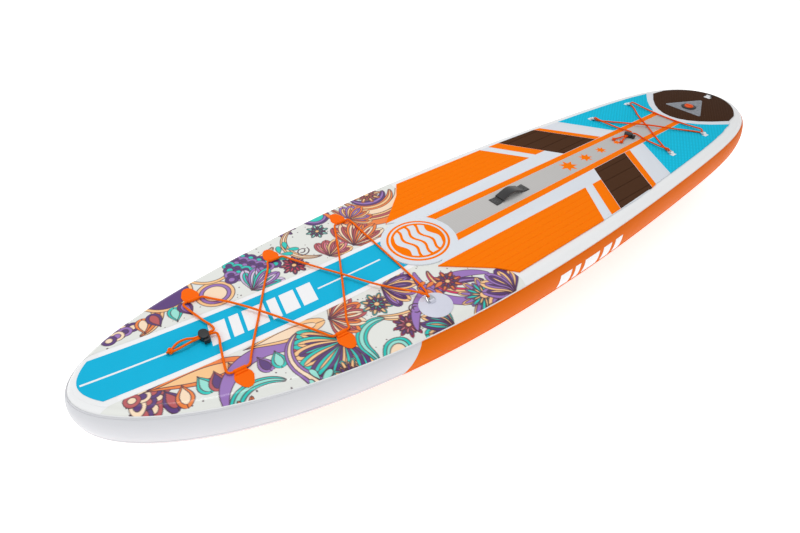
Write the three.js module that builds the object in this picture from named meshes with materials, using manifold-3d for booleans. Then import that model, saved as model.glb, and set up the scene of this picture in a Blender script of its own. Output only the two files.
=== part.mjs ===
// Inflatable stand up paddleboard, 3200 x 812 x 150 mm, with deck pads, bungees, handle, valve and fins.
// +X is port, +Y runs to the tail, +Z is up; the flat bottom of the hull is z = 0. Millimetres.
import * as THREE from "three";
import { mergeVertices } from "three/addons/utils/BufferGeometryUtils.js";
import Module from "manifold-3d";

const wasm = await Module();
wasm.setup();

// Hull
const NOSE_Y = -1600;
const TAIL_Y = 1600;
const WIDEST_Y = -150;
const HALF_WIDTH = 403.5;
const THICKNESS = 150;
const RAIL_DEPTH = 44;
const ROCKER_START_Y = -400;
const NOSE_LIFT = 77.5;
const ROCKER_POWER = 2.55;
const SKIN = 1.2;
const GAP = 0.35;
const RAIL_STATIONS = 72;

// Deck pads
const PAD_TOP = 5;
const PAD_EDGE_INSET = 64;
const CENTRE_PAD_HALF = 52.5;
const STRIP_INNER_HALF = 54;
const STRIP_OUTER_HALF = 84.5;
const STRIPE_TAPER = 0.000155;
const JOINT = 2;

// Fittings
const CORD = 7;
const RING_BAR = 4;
const VALVE_Y = 1315;
const VALVE_RADIUS = 34;
const SLEEVE_RADIUS = 18;
const THROAT_RADIUS = 14.5;
const LEASH_Y = 1500;
const HANDLE_Y = 20;
const FRONT_LOCK_Y = -1229;
const REAR_LOCK_Y = 803;
const FIN_BOX_Y = 1210;

const WHITE_PVC = { color: 0xe9eae6, roughness: 0.45, metalness: 0 };
const ORANGE_PVC = { color: 0xd9692a, roughness: 0.45, metalness: 0 };
const ORANGE_FOAM = { color: 0xff7a00, roughness: 0.85, metalness: 0 };
const BROWN_FOAM = { color: 0x4b3020, roughness: 0.9, metalness: 0 };
const CYAN_FOAM = { color: 0x14bee1, roughness: 0.85, metalness: 0 };
const GREY_FOAM = { color: 0xc0beb9, roughness: 0.85, metalness: 0 };
const YARN = { color: 0xe4e2da, roughness: 0.8, metalness: 0 };
const ORANGE_CORD = { color: 0xff6a00, roughness: 0.7, metalness: 0 };
const STEEL = { color: 0xc4c8cc, roughness: 0.25, metalness: 1 };
const BLACK_PLASTIC = { color: 0x17181a, roughness: 0.45, metalness: 0 };
const ORANGE_PLASTIC = { color: 0xff7a1a, roughness: 0.4, metalness: 0 };
const BLACK_WEBBING = { color: 0x2b2b2e, roughness: 0.9, metalness: 0 };
const RUBBER = { color: 0x1b1b1b, roughness: 0.8, metalness: 0 };

const board = new THREE.Group();

function addPiece(name, geometry, finish) {
  const mesh = new THREE.Mesh(geometry, new THREE.MeshStandardMaterial(finish));
  mesh.name = name;
  board.add(mesh);
  return mesh;
}

// Half the board's width at y: a superellipse towards the nose, a tapered squash towards the tail.
function halfWidth(y) {
  if (y < WIDEST_Y) {
    const u = (WIDEST_Y - y) / (WIDEST_Y - NOSE_Y);
    return HALF_WIDTH * Math.pow(Math.max(0, 1 - Math.pow(u, 2.2)), 0.513);
  }
  const u = (y - WIDEST_Y) / (TAIL_Y - WIDEST_Y);
  const taper = 1 - 0.105 * (1 - Math.cos(Math.PI * u));
  return HALF_WIDTH * taper * Math.sqrt(Math.max(0, 1 - Math.pow(u, 8)));
}

function rocker(y) {
  return NOSE_LIFT * Math.pow(Math.max(0, ROCKER_START_Y - y) / (ROCKER_START_Y - NOSE_Y), ROCKER_POWER);
}

function deckHeight(y) {
  return THICKNESS + rocker(y);
}

// Point k of the closed plan outline, counted from the nose along port to the tail and back.
function outlinePoint(k) {
  const half = RAIL_STATIONS / 2;
  const angle = (Math.PI * k) / half;
  const side = Math.sin(angle) >= 0 ? 1 : -1;
  const along = -Math.cos(angle);
  const reach = along < 0 ? WIDEST_Y - NOSE_Y : TAIL_Y - WIDEST_Y;
  const y = WIDEST_Y + along * reach;
  const atTip = k % half === 0;
  return new THREE.Vector2(atTip ? 0 : side * halfWidth(y), y);
}

function outlineInward(k) {
  const ahead = outlinePoint(k + 0.2);
  const behind = outlinePoint(k - 0.2);
  const along = ahead.sub(behind).normalize();
  return new THREE.Vector2(-along.y, along.x);
}

// A point of the hull's skin: station k, rail angle phi (90 degrees is the deck), depth under the surface.
function skinPoint(k, phi, depth) {
  const inward = outlineInward(k).multiplyScalar(depth + (RAIL_DEPTH - depth) * (1 - Math.cos(phi)));
  const plan = outlinePoint(k).add(inward);
  const height = THICKNESS / 2 + (THICKNESS / 2 - depth) * Math.sin(phi);
  return [plan.x, plan.y, height + rocker(plan.y)];
}

function closedGeometry(points, triangles) {
  let volume = 0;
  for (const [a, b, c] of triangles) {
    const [p, q, r] = [points[a], points[b], points[c]];
    volume += p[0] * (q[1] * r[2] - q[2] * r[1]);
    volume += p[1] * (q[2] * r[0] - q[0] * r[2]);
    volume += p[2] * (q[0] * r[1] - q[1] * r[0]);
  }
  const order = volume > 0 ? triangles : triangles.map(([a, b, c]) => [a, c, b]);
  const geometry = new THREE.BufferGeometry();
  geometry.setAttribute("position", new THREE.Float32BufferAttribute(points.flat(), 3));
  geometry.setIndex(order.flat());
  return geometry;
}

// Skin through a list of rail angles, closed across the middle when it is a deck or a bottom.
function skinGeometry(railAngles, outerDepth, innerDepth, capped) {
  const n = RAIL_STATIONS;
  const rows = railAngles.length - 1;
  const points = [];
  const triangles = [];
  for (const depth of [outerDepth, innerDepth]) {
    for (const degrees of railAngles) {
      const phi = THREE.MathUtils.degToRad(degrees);
      for (let k = 0; k < n; k++) points.push(skinPoint(k, phi, depth));
    }
  }
  const at = (layer, row, k) => (layer * (rows + 1) + row) * n + (k % n);
  const quad = (a, b, c, d, turned) => {
    triangles.push(turned ? [a, c, b] : [a, b, c], turned ? [a, d, c] : [a, c, d]);
  };
  for (let k = 0; k < n; k++) {
    for (let layer = 0; layer < 2; layer++) {
      for (let row = 0; row < rows; row++) {
        const corners = [at(layer, row, k), at(layer, row, k + 1), at(layer, row + 1, k + 1), at(layer, row + 1, k)];
        quad(...corners, layer === 1);
      }
    }
    quad(at(0, 0, k + 1), at(0, 0, k), at(1, 0, k), at(1, 0, k + 1), false);
    if (!capped) quad(at(0, rows, k), at(0, rows, k + 1), at(1, rows, k + 1), at(1, rows, k), false);
  }
  for (let k = 0; capped && k < n / 2; k++) {
    for (let layer = 0; layer < 2; layer++) {
      const [a, b] = [at(layer, rows, k), at(layer, rows, k + 1)];
      const [c, d] = [at(layer, rows, n - k - 1), at(layer, rows, n - k)];
      if (k > 0) triangles.push(layer ? [a, d, b] : [a, b, d]);
      else triangles.push(layer ? [a, c, b] : [a, b, c]);
      if (k > 0 && k < n / 2 - 1) triangles.push(layer ? [b, d, c] : [b, c, d]);
    }
  }
  return closedGeometry(points, triangles);
}

function toSolid(geometry) {
  const bare = new THREE.BufferGeometry();
  bare.setAttribute("position", (geometry.index ? geometry.toNonIndexed() : geometry).getAttribute("position"));
  const merged = mergeVertices(bare, 1e-4);
  const triVerts = new Uint32Array(merged.index.array);
  return new wasm.Manifold(
    new wasm.Mesh({ numProp: 3, vertProperties: merged.attributes.position.array, triVerts }),
  );
}

function toGeometry(solid) {
  const mesh = solid.getMesh();
  const geometry = new THREE.BufferGeometry();
  geometry.setAttribute("position", new THREE.BufferAttribute(mesh.vertProperties, 3));
  geometry.setIndex(new THREE.BufferAttribute(mesh.triVerts, 1));
  return geometry;
}

function join(...geometries) {
  return toGeometry(geometries.map(toSolid).reduce((sum, next) => sum.add(next)));
}

function cut(geometry, ...tools) {
  return toGeometry(tools.map(toSolid).reduce((rest, tool) => rest.subtract(tool), toSolid(geometry)));
}

function box(width, length, height, x, y, z) {
  return new THREE.BoxGeometry(width, length, height).translate(x, y, z);
}

function cylinder(radius, height, x, y, z, sides = 24) {
  return new THREE.CylinderGeometry(radius, radius, height, sides).rotateX(Math.PI / 2).translate(x, y, z);
}

// A profile of [radius, height] pairs turned about the vertical line at x, y.
function turned(profile, x, y, z, sides = 24) {
  const points = profile.map(([radius, height]) => new THREE.Vector2(radius, height));
  return new THREE.LatheGeometry(points, sides).rotateX(Math.PI / 2).translate(x, y, z);
}

function plate(outline, thickness, z) {
  const shape = new THREE.Shape(outline.map(([x, y]) => new THREE.Vector2(x, y)));
  return new THREE.ExtrudeGeometry(shape, { depth: thickness, bevelEnabled: false }).translate(0, 0, z);
}

// Turns a shape drawn in y and z, and its depth, to stand in the board's frame.
const ALONG_YZ = new THREE.Matrix4().makeBasis(
  new THREE.Vector3(0, 1, 0),
  new THREE.Vector3(0, 0, 1),
  new THREE.Vector3(1, 0, 0),
);

function mirrored(outline) {
  return outline.map(([x, y]) => [-x, y]).reverse();
}

// Deck, bottom and side walls
const valveHole = cylinder(SLEEVE_RADIUS + GAP, 40, 0, VALVE_Y, THICKNESS);
addPiece("deck_panel", cut(skinGeometry([38, 47, 61, 75, 90], 0, SKIN, true), valveHole), WHITE_PVC);
addPiece("bottom_panel", skinGeometry([-38, -47, -61, -75, -90], 0, SKIN, true), ORANGE_PVC);

const sideWall = skinGeometry([-47, -38, -19, 0, 19, 38, 47], -SKIN - GAP, -GAP, false);
const COLOUR_CHANGE_Y = -760;
const COLOUR_CHANGE_LEAN = 0.6;
const BLOCK = 4000;
function behindColourChange(offset) {
  return new THREE.BoxGeometry(BLOCK, BLOCK, BLOCK)
    .translate(0, BLOCK / 2, 0)
    .rotateX(-COLOUR_CHANGE_LEAN)
    .translate(0, COLOUR_CHANGE_Y + offset, THICKNESS / 2);
}
function aheadOfColourChange(offset) {
  return new THREE.BoxGeometry(BLOCK, BLOCK, BLOCK)
    .translate(0, -BLOCK / 2, 0)
    .rotateX(-COLOUR_CHANGE_LEAN)
    .translate(0, COLOUR_CHANGE_Y + offset, THICKNESS / 2);
}
addPiece("side_wall_front", cut(sideWall, behindColourChange(-GAP)), WHITE_PVC);
addPiece("side_wall_rear", cut(sideWall, aheadOfColourChange(GAP)), ORANGE_PVC);

// The yarn that ties the deck to the bottom: one run, up and down along each row, rows joined at their first knots
const YARN_ROWS = [-300, -180, -60, 60, 180, 300];
const YARN_STEP = 75;
const YARN_WIDTH = 3;
const YARN_DEPTH = 8;
const YARN_CLEARANCE = 4;
function yarnKnots(x) {
  const knots = [];
  for (let i = 0; NOSE_Y + 200 + i * YARN_STEP < TAIL_Y - 180; i++) {
    const y = NOSE_Y + 200 + i * YARN_STEP;
    const floor = rocker(y) + YARN_CLEARANCE;
    const ceiling = deckHeight(y) - YARN_CLEARANCE - YARN_DEPTH;
    if (halfWidth(y) - RAIL_DEPTH - 30 > Math.abs(x)) knots.push([y, i % 2 ? ceiling : floor]);
  }
  return knots;
}
function yarnRibbon(x) {
  const lower = yarnKnots(x);
  const upper = lower.map(([y, z]) => [y, z + YARN_DEPTH]).reverse();
  const outline = [...lower, ...upper].map(([y, z]) => new THREE.Vector2(y, z));
  const ribbon = new THREE.ExtrudeGeometry(new THREE.Shape(outline), { depth: YARN_WIDTH, bevelEnabled: false });
  return ribbon.applyMatrix4(ALONG_YZ).translate(x - YARN_WIDTH / 2, 0, 0);
}
function yarnLink(fromX, toX) {
  const outer = Math.abs(fromX) > Math.abs(toX) ? fromX : toX;
  const [y, z] = yarnKnots(outer)[0];
  return box(toX - fromX, YARN_WIDTH, YARN_WIDTH, (fromX + toX) / 2, y + YARN_WIDTH, z + YARN_DEPTH / 2);
}
const yarnLinks = YARN_ROWS.slice(1).map((x, i) => yarnLink(YARN_ROWS[i], x));
addPiece("drop_stitch_yarn", join(...YARN_ROWS.map(yarnRibbon), ...yarnLinks), YARN);

// Deck pads. Each is cut square to the deck and follows the board's edge on its outer side.
const padFloor = THICKNESS + GAP;
function stripeScale(y) {
  return 1 - STRIPE_TAPER * (y - 70);
}
function padEdge(y) {
  return halfWidth(y) - PAD_EDGE_INSET;
}
function edgeRun(fromY, toY, steps) {
  return Array.from({ length: steps + 1 }, (_, i) => {
    const y = fromY + ((toY - fromY) * i) / steps;
    return [padEdge(y), y];
  });
}
function addPad(name, outline, finish) {
  addPiece(name, plate(outline, PAD_TOP, padFloor), finish);
}
function addPadPair(name, outline, finish) {
  addPad(name + "_port", outline, finish);
  addPad(name + "_starboard", mirrored(outline), finish);
}
const DISC_Y = -443;
const DISC_CLEAR_RADIUS = 140;
const TAIL_CURVE_Y = 1146;
const TAIL_CURVE = 0.0041;
const TAIL_BORDER = 30;
function tailArcFront(x, clearance) {
  const slope = 2 * TAIL_CURVE * x;
  return TAIL_CURVE_Y + TAIL_CURVE * x * x - clearance * Math.sqrt(1 + slope * slope);
}
function discRear(x) {
  return DISC_Y + Math.sqrt(DISC_CLEAR_RADIUS * DISC_CLEAR_RADIUS - x * x);
}
function stripePoints(half, fromY, toY) {
  return [[half * stripeScale(fromY), fromY], [half * stripeScale(toY), toY]];
}
const centreRight = stripePoints(CENTRE_PAD_HALF, discRear(CENTRE_PAD_HALF), tailArcFront(43, TAIL_BORDER));
const centreFront = [-26, 0, 26].map((x) => [x, discRear(x)]);
const centreRear = [22, 0, -22].map((x) => [x, tailArcFront(x, TAIL_BORDER)]);
addPad(
  "pad_centre_grey",
  [...centreFront, ...centreRight, ...centreRear, ...mirrored(centreRight)],
  GREY_FOAM,
);
const stripOuter = stripePoints(STRIP_OUTER_HALF, discRear(STRIP_OUTER_HALF), tailArcFront(69, TAIL_BORDER));
const stripInner = stripePoints(STRIP_INNER_HALF, discRear(STRIP_INNER_HALF), tailArcFront(45, TAIL_BORDER));
addPadPair("pad_strip_orange", [...stripOuter, ...stripInner.reverse()], ORANGE_FOAM);

const BLOCK_OUTER = 341;
const blockPad = [[150, -477], [275, -333], [BLOCK_OUTER, -284], [334, 178], [151, 301]];
addPadPair("pad_block_orange", blockPad, ORANGE_FOAM);
addPadPair("pad_bar_orange", [[331, 229], [329, 287], [152, 401], [153, 344]], ORANGE_FOAM);

const brownInnerFront = STRIP_OUTER_HALF * stripeScale(451) + JOINT;
const brownInnerRear = STRIP_OUTER_HALF * stripeScale(664) + JOINT;
addPadPair(
  "pad_brown",
  [[329, 287 + JOINT], [317, 512], [brownInnerRear, 664], [brownInnerFront, 448], [152, 401 + JOINT]],
  BROWN_FOAM,
);
const lineInner = STRIP_OUTER_HALF * stripeScale(664) + JOINT;
addPadPair("pad_line_orange", [[317, 512 + JOINT], [311, 548], [lineInner, 703], [lineInner, 664 + JOINT]], ORANGE_FOAM);

const cyanInner = [1115, 806].map((y) => [STRIP_OUTER_HALF * stripeScale(y) + JOINT, y]);
const cyanRear = [205, 170, 130, 95].map((x) => [x, tailArcFront(x, TAIL_BORDER)]);
addPadPair("pad_cyan", [...edgeRun(668, 1288, 6), ...cyanRear, ...cyanInner], CYAN_FOAM);

const TAIL_PAD_SIDE_Y = 1345;
const tailSide = Array.from({ length: 24 }, (_, i) => {
  const k = 27 + (RAIL_STATIONS / 2 - 27) * (i / 24);
  const inset = RAIL_DEPTH + 18 - (8 * i) / 24;
  const point = outlinePoint(k).add(outlineInward(k).multiplyScalar(inset));
  return [point.x, point.y];
}).filter(([x, y]) => y > TAIL_PAD_SIDE_Y && x < 200);
const tailEnd = [0, outlinePoint(RAIL_STATIONS / 2).y - RAIL_DEPTH - 10];
const tailFront = [-205, -160, -120, -80, -40, 0, 40, 80, 120, 160, 205].map((x) => [x, tailArcFront(x, 0)]);
const tailPad = plate([...tailFront, ...tailSide, tailEnd, ...mirrored(tailSide)], PAD_TOP, padFloor);
const valveClearance = cylinder(VALVE_RADIUS + 2, 40, 0, VALVE_Y, THICKNESS);
addPiece("pad_tail_brown", cut(tailPad, valveClearance), BROWN_FOAM);

// Rings and the patches that hold them
function ringGeometry(halfSpan, depth) {
  const points = [];
  const triangles = [];
  const path = [];
  for (let i = 0; i <= 10; i++) {
    const angle = (Math.PI * i) / 10;
    path.push([halfSpan * Math.cos(angle), depth * Math.sin(angle)]);
  }
  path.push([-halfSpan * 0.5, -0.01], [0, -0.01], [halfSpan * 0.5, -0.01]);
  const sides = 6;
  path.forEach(([x, y], i) => {
    const next = path[(i + 1) % path.length];
    const last = path[(i + path.length - 1) % path.length];
    const along = new THREE.Vector2(next[0] - last[0], next[1] - last[1]).normalize();
    for (let s = 0; s < sides; s++) {
      const angle = (2 * Math.PI * s) / sides;
      const out = (RING_BAR / 2) * Math.cos(angle);
      points.push([x + along.y * out, y - along.x * out, (RING_BAR / 2) * Math.sin(angle)]);
      const [a, b] = [i * sides + s, i * sides + ((s + 1) % sides)];
      const shift = ((i + 1) % path.length) * sides;
      const [c, d] = [shift + ((s + 1) % sides), shift + s];
      triangles.push([a, b, c], [a, c, d]);
    }
  });
  return closedGeometry(points, triangles);
}

// Every ring is drawn with its straight bar along X and its bow towards +Y, then turned to its place.
function placedRing(halfSpan, depth, tilt, heading, x, y, z) {
  return ringGeometry(halfSpan, depth).rotateX(tilt).rotateZ(heading).translate(x, y, z);
}

// A glued patch with a webbing tunnel round the ring's straight bar.
function ringPatch(padLength, padWidth, tunnelWidth, heading, x, y, floor) {
  const base = box(padWidth, padLength, 1.4, 0, -padLength / 2 + 4, 0.7);
  const hump = new THREE.CylinderGeometry(5.4, 5.4, tunnelWidth, 12).rotateZ(Math.PI / 2).translate(0, 0, 4.6);
  const skirt = box(tunnelWidth, 9, 4.6, 0, -3.5, 2.3);
  const bore = new THREE.CylinderGeometry(2.5, 2.5, tunnelWidth + 10, 10).rotateZ(Math.PI / 2).translate(0, 0, 4.6);
  const below = box(padWidth * 2, 60, 10, 0, 0, -5);
  return cut(join(base, hump, skirt), bore, below).rotateZ(heading).translate(x, y, floor);
}

const TOWARDS_STARBOARD = Math.PI / 2;
const TOWARDS_PORT = -Math.PI / 2;
const REAR_RINGS = [
  ["front_port", 214, 815, TOWARDS_STARBOARD],
  ["front_starboard", -214, 815, TOWARDS_PORT],
  ["rear_port", 206, 1095, TOWARDS_STARBOARD],
  ["rear_starboard", -206, 1095, TOWARDS_PORT],
];
const padSurface = padFloor + PAD_TOP + GAP;
const RING_TILT = 0.3;
for (const [place, x, y, heading] of REAR_RINGS) {
  addPiece("rear_patch_" + place, ringPatch(20, 24, 16, heading, x, y, padSurface), WHITE_PVC);
  addPiece("rear_ring_" + place, placedRing(13, 22, RING_TILT, heading, x, y, padSurface + 4.6), STEEL);
}
addPiece("leash_patch", ringPatch(22, 32, 20, 0, 0, LEASH_Y, padSurface), WHITE_PVC);
addPiece("leash_ring", placedRing(16, 24, 0.08, 0, 0, LEASH_Y, padSurface + 4.6), STEEL);

// Front port anchor: a round patch with a raised tab and a ring
const ROUND_PATCH_X = 286;
const FRONT_RING_Y = -602;
const frontFloor = deckHeight(FRONT_RING_Y) + 1.1;
const roundBase = cylinder(55, 1.4, ROUND_PATCH_X, FRONT_RING_Y, frontFloor + 0.7, 28);
const roundTab = ringPatch(34, 30, 18, TOWARDS_STARBOARD, ROUND_PATCH_X - 18, FRONT_RING_Y, frontFloor);
addPiece("front_round_patch", join(roundBase, roundTab), WHITE_PVC);
const frontRing = placedRing(14, 24, RING_TILT, TOWARDS_STARBOARD, ROUND_PATCH_X - 18, FRONT_RING_Y, frontFloor + 4.6);
addPiece("front_ring", frontRing, STEEL);

// The five folded anchors: a glued patch with a sleeve along its inboard side
const SLEEVE_LENGTH = 34;
const SLEEVE_INBOARD = 27;
const ANCHORS = [
  ["front_port", 196, -1198],
  ["front_starboard", -196, -1198],
  ["middle_port", 238, -902],
  ["middle_starboard", -238, -902],
  ["rear_starboard", -286, -602],
];
function anchorGeometry(x, y) {
  const outboard = Math.sign(x);
  const outline = [[-27, 17], [-6, 26], [6, 26], [32, 15], [40, 6], [40, -6], [32, -15], [6, -26], [-6, -26], [-27, -17]];
  const slope = (rocker(y + 5) - rocker(y - 5)) / 10;
  const base = plate(outline, 1.5, 0);
  const axisHeight = 5.6;
  const sleeve = new THREE.CylinderGeometry(5.6, 5.6, SLEEVE_LENGTH, 12).translate(-SLEEVE_INBOARD, 0, axisHeight);
  const cheek = box(12, SLEEVE_LENGTH, 5, -SLEEVE_INBOARD + 6, 0, 2.5);
  const bore = new THREE.CylinderGeometry(4, 4, SLEEVE_LENGTH + 20, 12).translate(-SLEEVE_INBOARD, 0, axisHeight);
  const geometry = cut(join(base, sleeve, cheek), bore, box(100, 100, 10, 0, 0, -5));
  return geometry
    .rotateZ(outboard > 0 ? 0 : Math.PI)
    .rotateX(Math.atan(slope))
    .translate(x, y, deckHeight(y) + 0.9);
}
for (const [place, x, y] of ANCHORS) {
  addPiece("front_anchor_" + place, anchorGeometry(x, y), ORANGE_CORD);
}

// Bungee cords. Each point is x, y and the height of the cord's centre over the deck.
class Route extends THREE.CatmullRomCurve3 {
  getPointAt(t, target) {
    return this.getPoint(t, target);
  }
  getTangentAt(t, target) {
    return this.getTangent(t, target);
  }
}
function cordGeometry(points) {
  const route = new Route(points.map(([x, y, h]) => new THREE.Vector3(x, y, deckHeight(y) + h)), false, "centripetal");
  const section = new THREE.Shape();
  section.absarc(0, 0, CORD / 2, 0, 2 * Math.PI);
  const options = { steps: points.length - 1, extrudePath: route, curveSegments: 4, bevelEnabled: false };
  return new THREE.ExtrudeGeometry(section, options);
}
const frontRoute = [
  [10, -1322, 7], [12, -1300, 12], [9, -1275, 14], [4.2, -1256, 11.5], [4.2, -1229, 11.5], [4.2, -1208, 11.5],
  [8, -1197, 10.5], [18, -1195, 10], [60, -1206, 8.5], [120, -1222, 7.5], [150, -1229, 6.8], [160, -1230, 6.5],
  [166, -1227, 6.5], [169, -1220, 6.5], [169, -1208, 6.5], [169, -1188, 6.5], [169, -1176, 6.5],
  [167, -1169, 6.5], [161, -1163, 6.5], [150, -1157, 6.5], [100, -1126, 6], [0, -1060, 5], [-120, -982, 6],
  [-190, -936, 6.5], [-203, -931, 6.5], [-209, -927, 6.5], [-211, -921, 6.5], [-211, -908, 6.5],
  [-211, -894, 6.5], [-211, -880, 6.5], [-209, -873, 6.5], [-203, -868, 6.5], [-190, -862, 7],
  [-100, -816, 10], [0, -762, 14.5], [120, -694, 15.5], [222, -620, 18], [236, -612, 19.2], [243, -608, 19.1],
  [248.5, -606, 18.1], [252, -603.5, 15.2], [252, -601.5, 10.4], [248.8, -600, 7], [243, -598, 6.6],
  [232, -594, 6.7], [218, -589, 6.5], [100, -580, 6], [0, -577, 6], [-150, -574, 6.5], [-242, -571, 6.5],
  [-252, -572, 6.5], [-257, -575, 6.5], [-259, -581, 6.5], [-259, -594, 6.5], [-259, -610, 6.5],
  [-259, -624, 6.5], [-257, -631, 6.5], [-251, -636, 6.5], [-240, -642, 6.5], [-120, -702, 6], [0, -765, 5],
  [110, -824, 6], [190, -866, 6.5], [203, -869, 6.5], [209, -874, 6.5], [211, -881, 6.5], [211, -894, 6.5],
  [211, -908, 6.5], [211, -922, 6.5], [209, -929, 6.5], [203, -935, 6.5], [190, -942, 7], [110, -988, 11],
  [0, -1054, 14.5], [-90, -1110, 11], [-150, -1155, 7], [-161, -1163, 6.5], [-167, -1169, 6.5],
  [-169, -1176, 6.5], [-169, -1188, 6.5], [-169, -1208, 6.5], [-169, -1220, 6.5], [-166, -1227, 6.5],
  [-160, -1230, 6.5], [-150, -1229, 6.8], [-120, -1222, 7.5], [-60, -1206, 8.5], [-18, -1195, 10],
  [-8, -1197, 10.5], [-4.2, -1208, 11.5], [-4.2, -1229, 11.5], [-4.2, -1256, 11.5], [-10, -1275, 14],
  [-10, -1300, 12], [1, -1322, 7],
];
const frontKnot = new THREE.IcosahedronGeometry(8, 1).translate(5.5, -1327, deckHeight(-1327) + 8.5);
addPiece("front_bungee_cord", join(cordGeometry(frontRoute), frontKnot), ORANGE_CORD);

const rearRoute = [
  [16, 728, 12], [10, 752, 14], [4.2, 775, 15], [4.2, 803, 15], [4.2, 824, 15], [8, 836, 14.5], [18, 839, 14],
  [60, 830, 13], [120, 819, 16], [172, 811, 21.5], [184, 811, 23], [190, 812, 23.2], [195.5, 813, 22.6],
  [199.3, 814, 19.2], [199.3, 816, 14.4], [195.5, 818, 10.9], [190, 820, 10.2], [176, 828, 10],
  [100, 880, 10], [0, 955, 9.4], [-100, 1024, 10], [-166, 1082, 9.8], [-182, 1091, 9.8], [-188, 1093, 10.6],
  [-192, 1094.5, 14.4], [-192, 1096, 19.2], [-188, 1098, 22.8], [-182, 1100, 23.2], [-174, 1101, 23],
  [-170, 1104, 21], [-90, 1107, 13], [0, 1108, 10], [90, 1107, 13], [170, 1104, 21], [174, 1101, 23],
  [182, 1100, 23.2], [188, 1098, 22.8], [192, 1096, 19.2], [192, 1094.5, 14.4], [188, 1093, 10.6],
  [182, 1091, 9.8], [166, 1082, 9.8], [100, 1026, 14], [0, 951, 18.6], [-100, 878, 14], [-176, 828, 10],
  [-190, 820, 10.2], [-195.5, 818, 10.9], [-199.3, 816, 14.4], [-199.3, 814, 19.2], [-195.5, 813, 22.6],
  [-190, 812, 23.2], [-184, 811, 23], [-172, 811, 21.5], [-120, 819, 16], [-60, 830, 13], [-18, 839, 14],
  [-8, 836, 14.5], [-4.2, 824, 15], [-4.2, 803, 15], [-4.2, 775, 15], [-11, 752, 13], [-20, 724, 11],
];
const rearKnots = [[16.5, 725, 12], [-21, 721, 11]].map(([x, y, h]) =>
  new THREE.IcosahedronGeometry(5.5, 1).translate(x, y, deckHeight(y) + h),
);
addPiece("rear_bungee_cord", join(cordGeometry(rearRoute), ...rearKnots), ORANGE_CORD);

// Cord locks: a barrel with a way through for two strands, and a button with a spring behind it
const LOCK_TRAVEL = 4;
const LOCK_HEIGHT = 18;
const LOCK_HALF_LENGTH = 20;
const LOCK_HALF_BREADTH = 15;
const STRAND_WAY = 8.6;
const BUTTON_BAR = 12;
const SPRING_SEAT = -17;
const BUTTON_END = -10.4;
function lockBarrel() {
  const outline = Array.from({ length: 20 }, (_, i) => {
    const angle = (2 * Math.PI * i) / 20;
    return [LOCK_HALF_LENGTH * Math.cos(angle), LOCK_HALF_BREADTH * Math.sin(angle)];
  });
  const body = plate(outline, LOCK_HEIGHT, -LOCK_HEIGHT / 2);
  const strandWay = box(17, 60, STRAND_WAY, 0, 0, 0);
  const buttonWay = box(60, BUTTON_BAR + 0.8, BUTTON_BAR + 0.8, 30 + SPRING_SEAT, 0, 0);
  return cut(body, strandWay, buttonWay);
}
function lockButton() {
  const headFace = LOCK_HALF_LENGTH + LOCK_TRAVEL + 0.4;
  const bar = box(headFace - BUTTON_END + 1, BUTTON_BAR, BUTTON_BAR, (headFace + BUTTON_END + 1) / 2, 0, 0);
  const head = box(6, 18, 14, headFace + 3, 0, 0);
  const slot = box(17 + LOCK_TRAVEL, 40, STRAND_WAY, LOCK_TRAVEL / 2, 0, 0);
  return cut(join(bar, head), slot);
}
function springGeometry(radius, wire, length, turns, stepsPerTurn) {
  const steps = turns * stepsPerTurn;
  const points = Array.from({ length: steps + 1 }, (_, i) => {
    const angle = (2 * Math.PI * i) / stepsPerTurn;
    return new THREE.Vector3(radius * Math.cos(angle), radius * Math.sin(angle), (length * i) / steps);
  });
  const section = new THREE.Shape();
  section.absarc(0, 0, wire / 2, 0, 2 * Math.PI);
  const route = new Route(points, false, "centripetal");
  return new THREE.ExtrudeGeometry(section, { steps, extrudePath: route, curveSegments: 2, bevelEnabled: false });
}
const LOCKS = [
  ["front", FRONT_LOCK_Y, 11.5],
  ["rear", REAR_LOCK_Y, 15],
];
for (const [place, y, height] of LOCKS) {
  const slope = Math.atan((rocker(y + 5) - rocker(y - 5)) / 10);
  const onDeck = (geometry) => geometry.rotateX(slope).translate(0, y, deckHeight(y) + height);
  const spring = springGeometry(4, 0.9, BUTTON_END - SPRING_SEAT - 1.6, 4, 9);
  spring.rotateY(Math.PI / 2).translate(SPRING_SEAT + 0.8, 0, 0);
  addPiece(place + "_lock_barrel", onDeck(lockBarrel()), BLACK_PLASTIC);
  addPiece(place + "_lock_button", onDeck(lockButton()), BLACK_PLASTIC);
  addPiece(place + "_lock_spring", onDeck(spring), STEEL);
}

// Carry handle: a padded grip on a webbing strap, stitched to two glued patches
const HANDLE_REACH = 74;
const STRAP_END = 91;
const GRIP_END = 56;
const HANDLE_RISE = 20;
function archHeight(distance) {
  return HANDLE_RISE * Math.pow(Math.cos((Math.PI / 2) * Math.min(1, Math.abs(distance) / HANDLE_REACH)), 2);
}
// A strip along Y that follows the arch, its half width given at each distance from the middle.
function archStrip(from, to, steps, halfWidthAt, lift, thickness) {
  const points = [];
  const triangles = [];
  for (let i = 0; i <= steps; i++) {
    const distance = from + ((to - from) * i) / steps;
    const half = halfWidthAt(distance);
    const z = padSurface + 1.5 + GAP + archHeight(distance) + lift;
    const y = HANDLE_Y + distance;
    points.push([-half, y, z], [half, y, z], [half, y, z + thickness], [-half, y, z + thickness]);
    for (let s = 0; i < steps && s < 4; s++) {
      const [a, b] = [i * 4 + s, i * 4 + ((s + 1) % 4)];
      triangles.push([a, b, b + 4], [a, b + 4, a + 4]);
    }
  }
  const end = steps * 4;
  triangles.push([0, 2, 1], [0, 3, 2], [end, end + 1, end + 2], [end, end + 2, end + 3]);
  return closedGeometry(points, triangles);
}
const strapHalfWidth = (distance) => 18 + 5 * Math.pow(distance / STRAP_END, 2);
const webbing = archStrip(-STRAP_END, STRAP_END, 26, strapHalfWidth, 0, 1.8);
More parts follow.
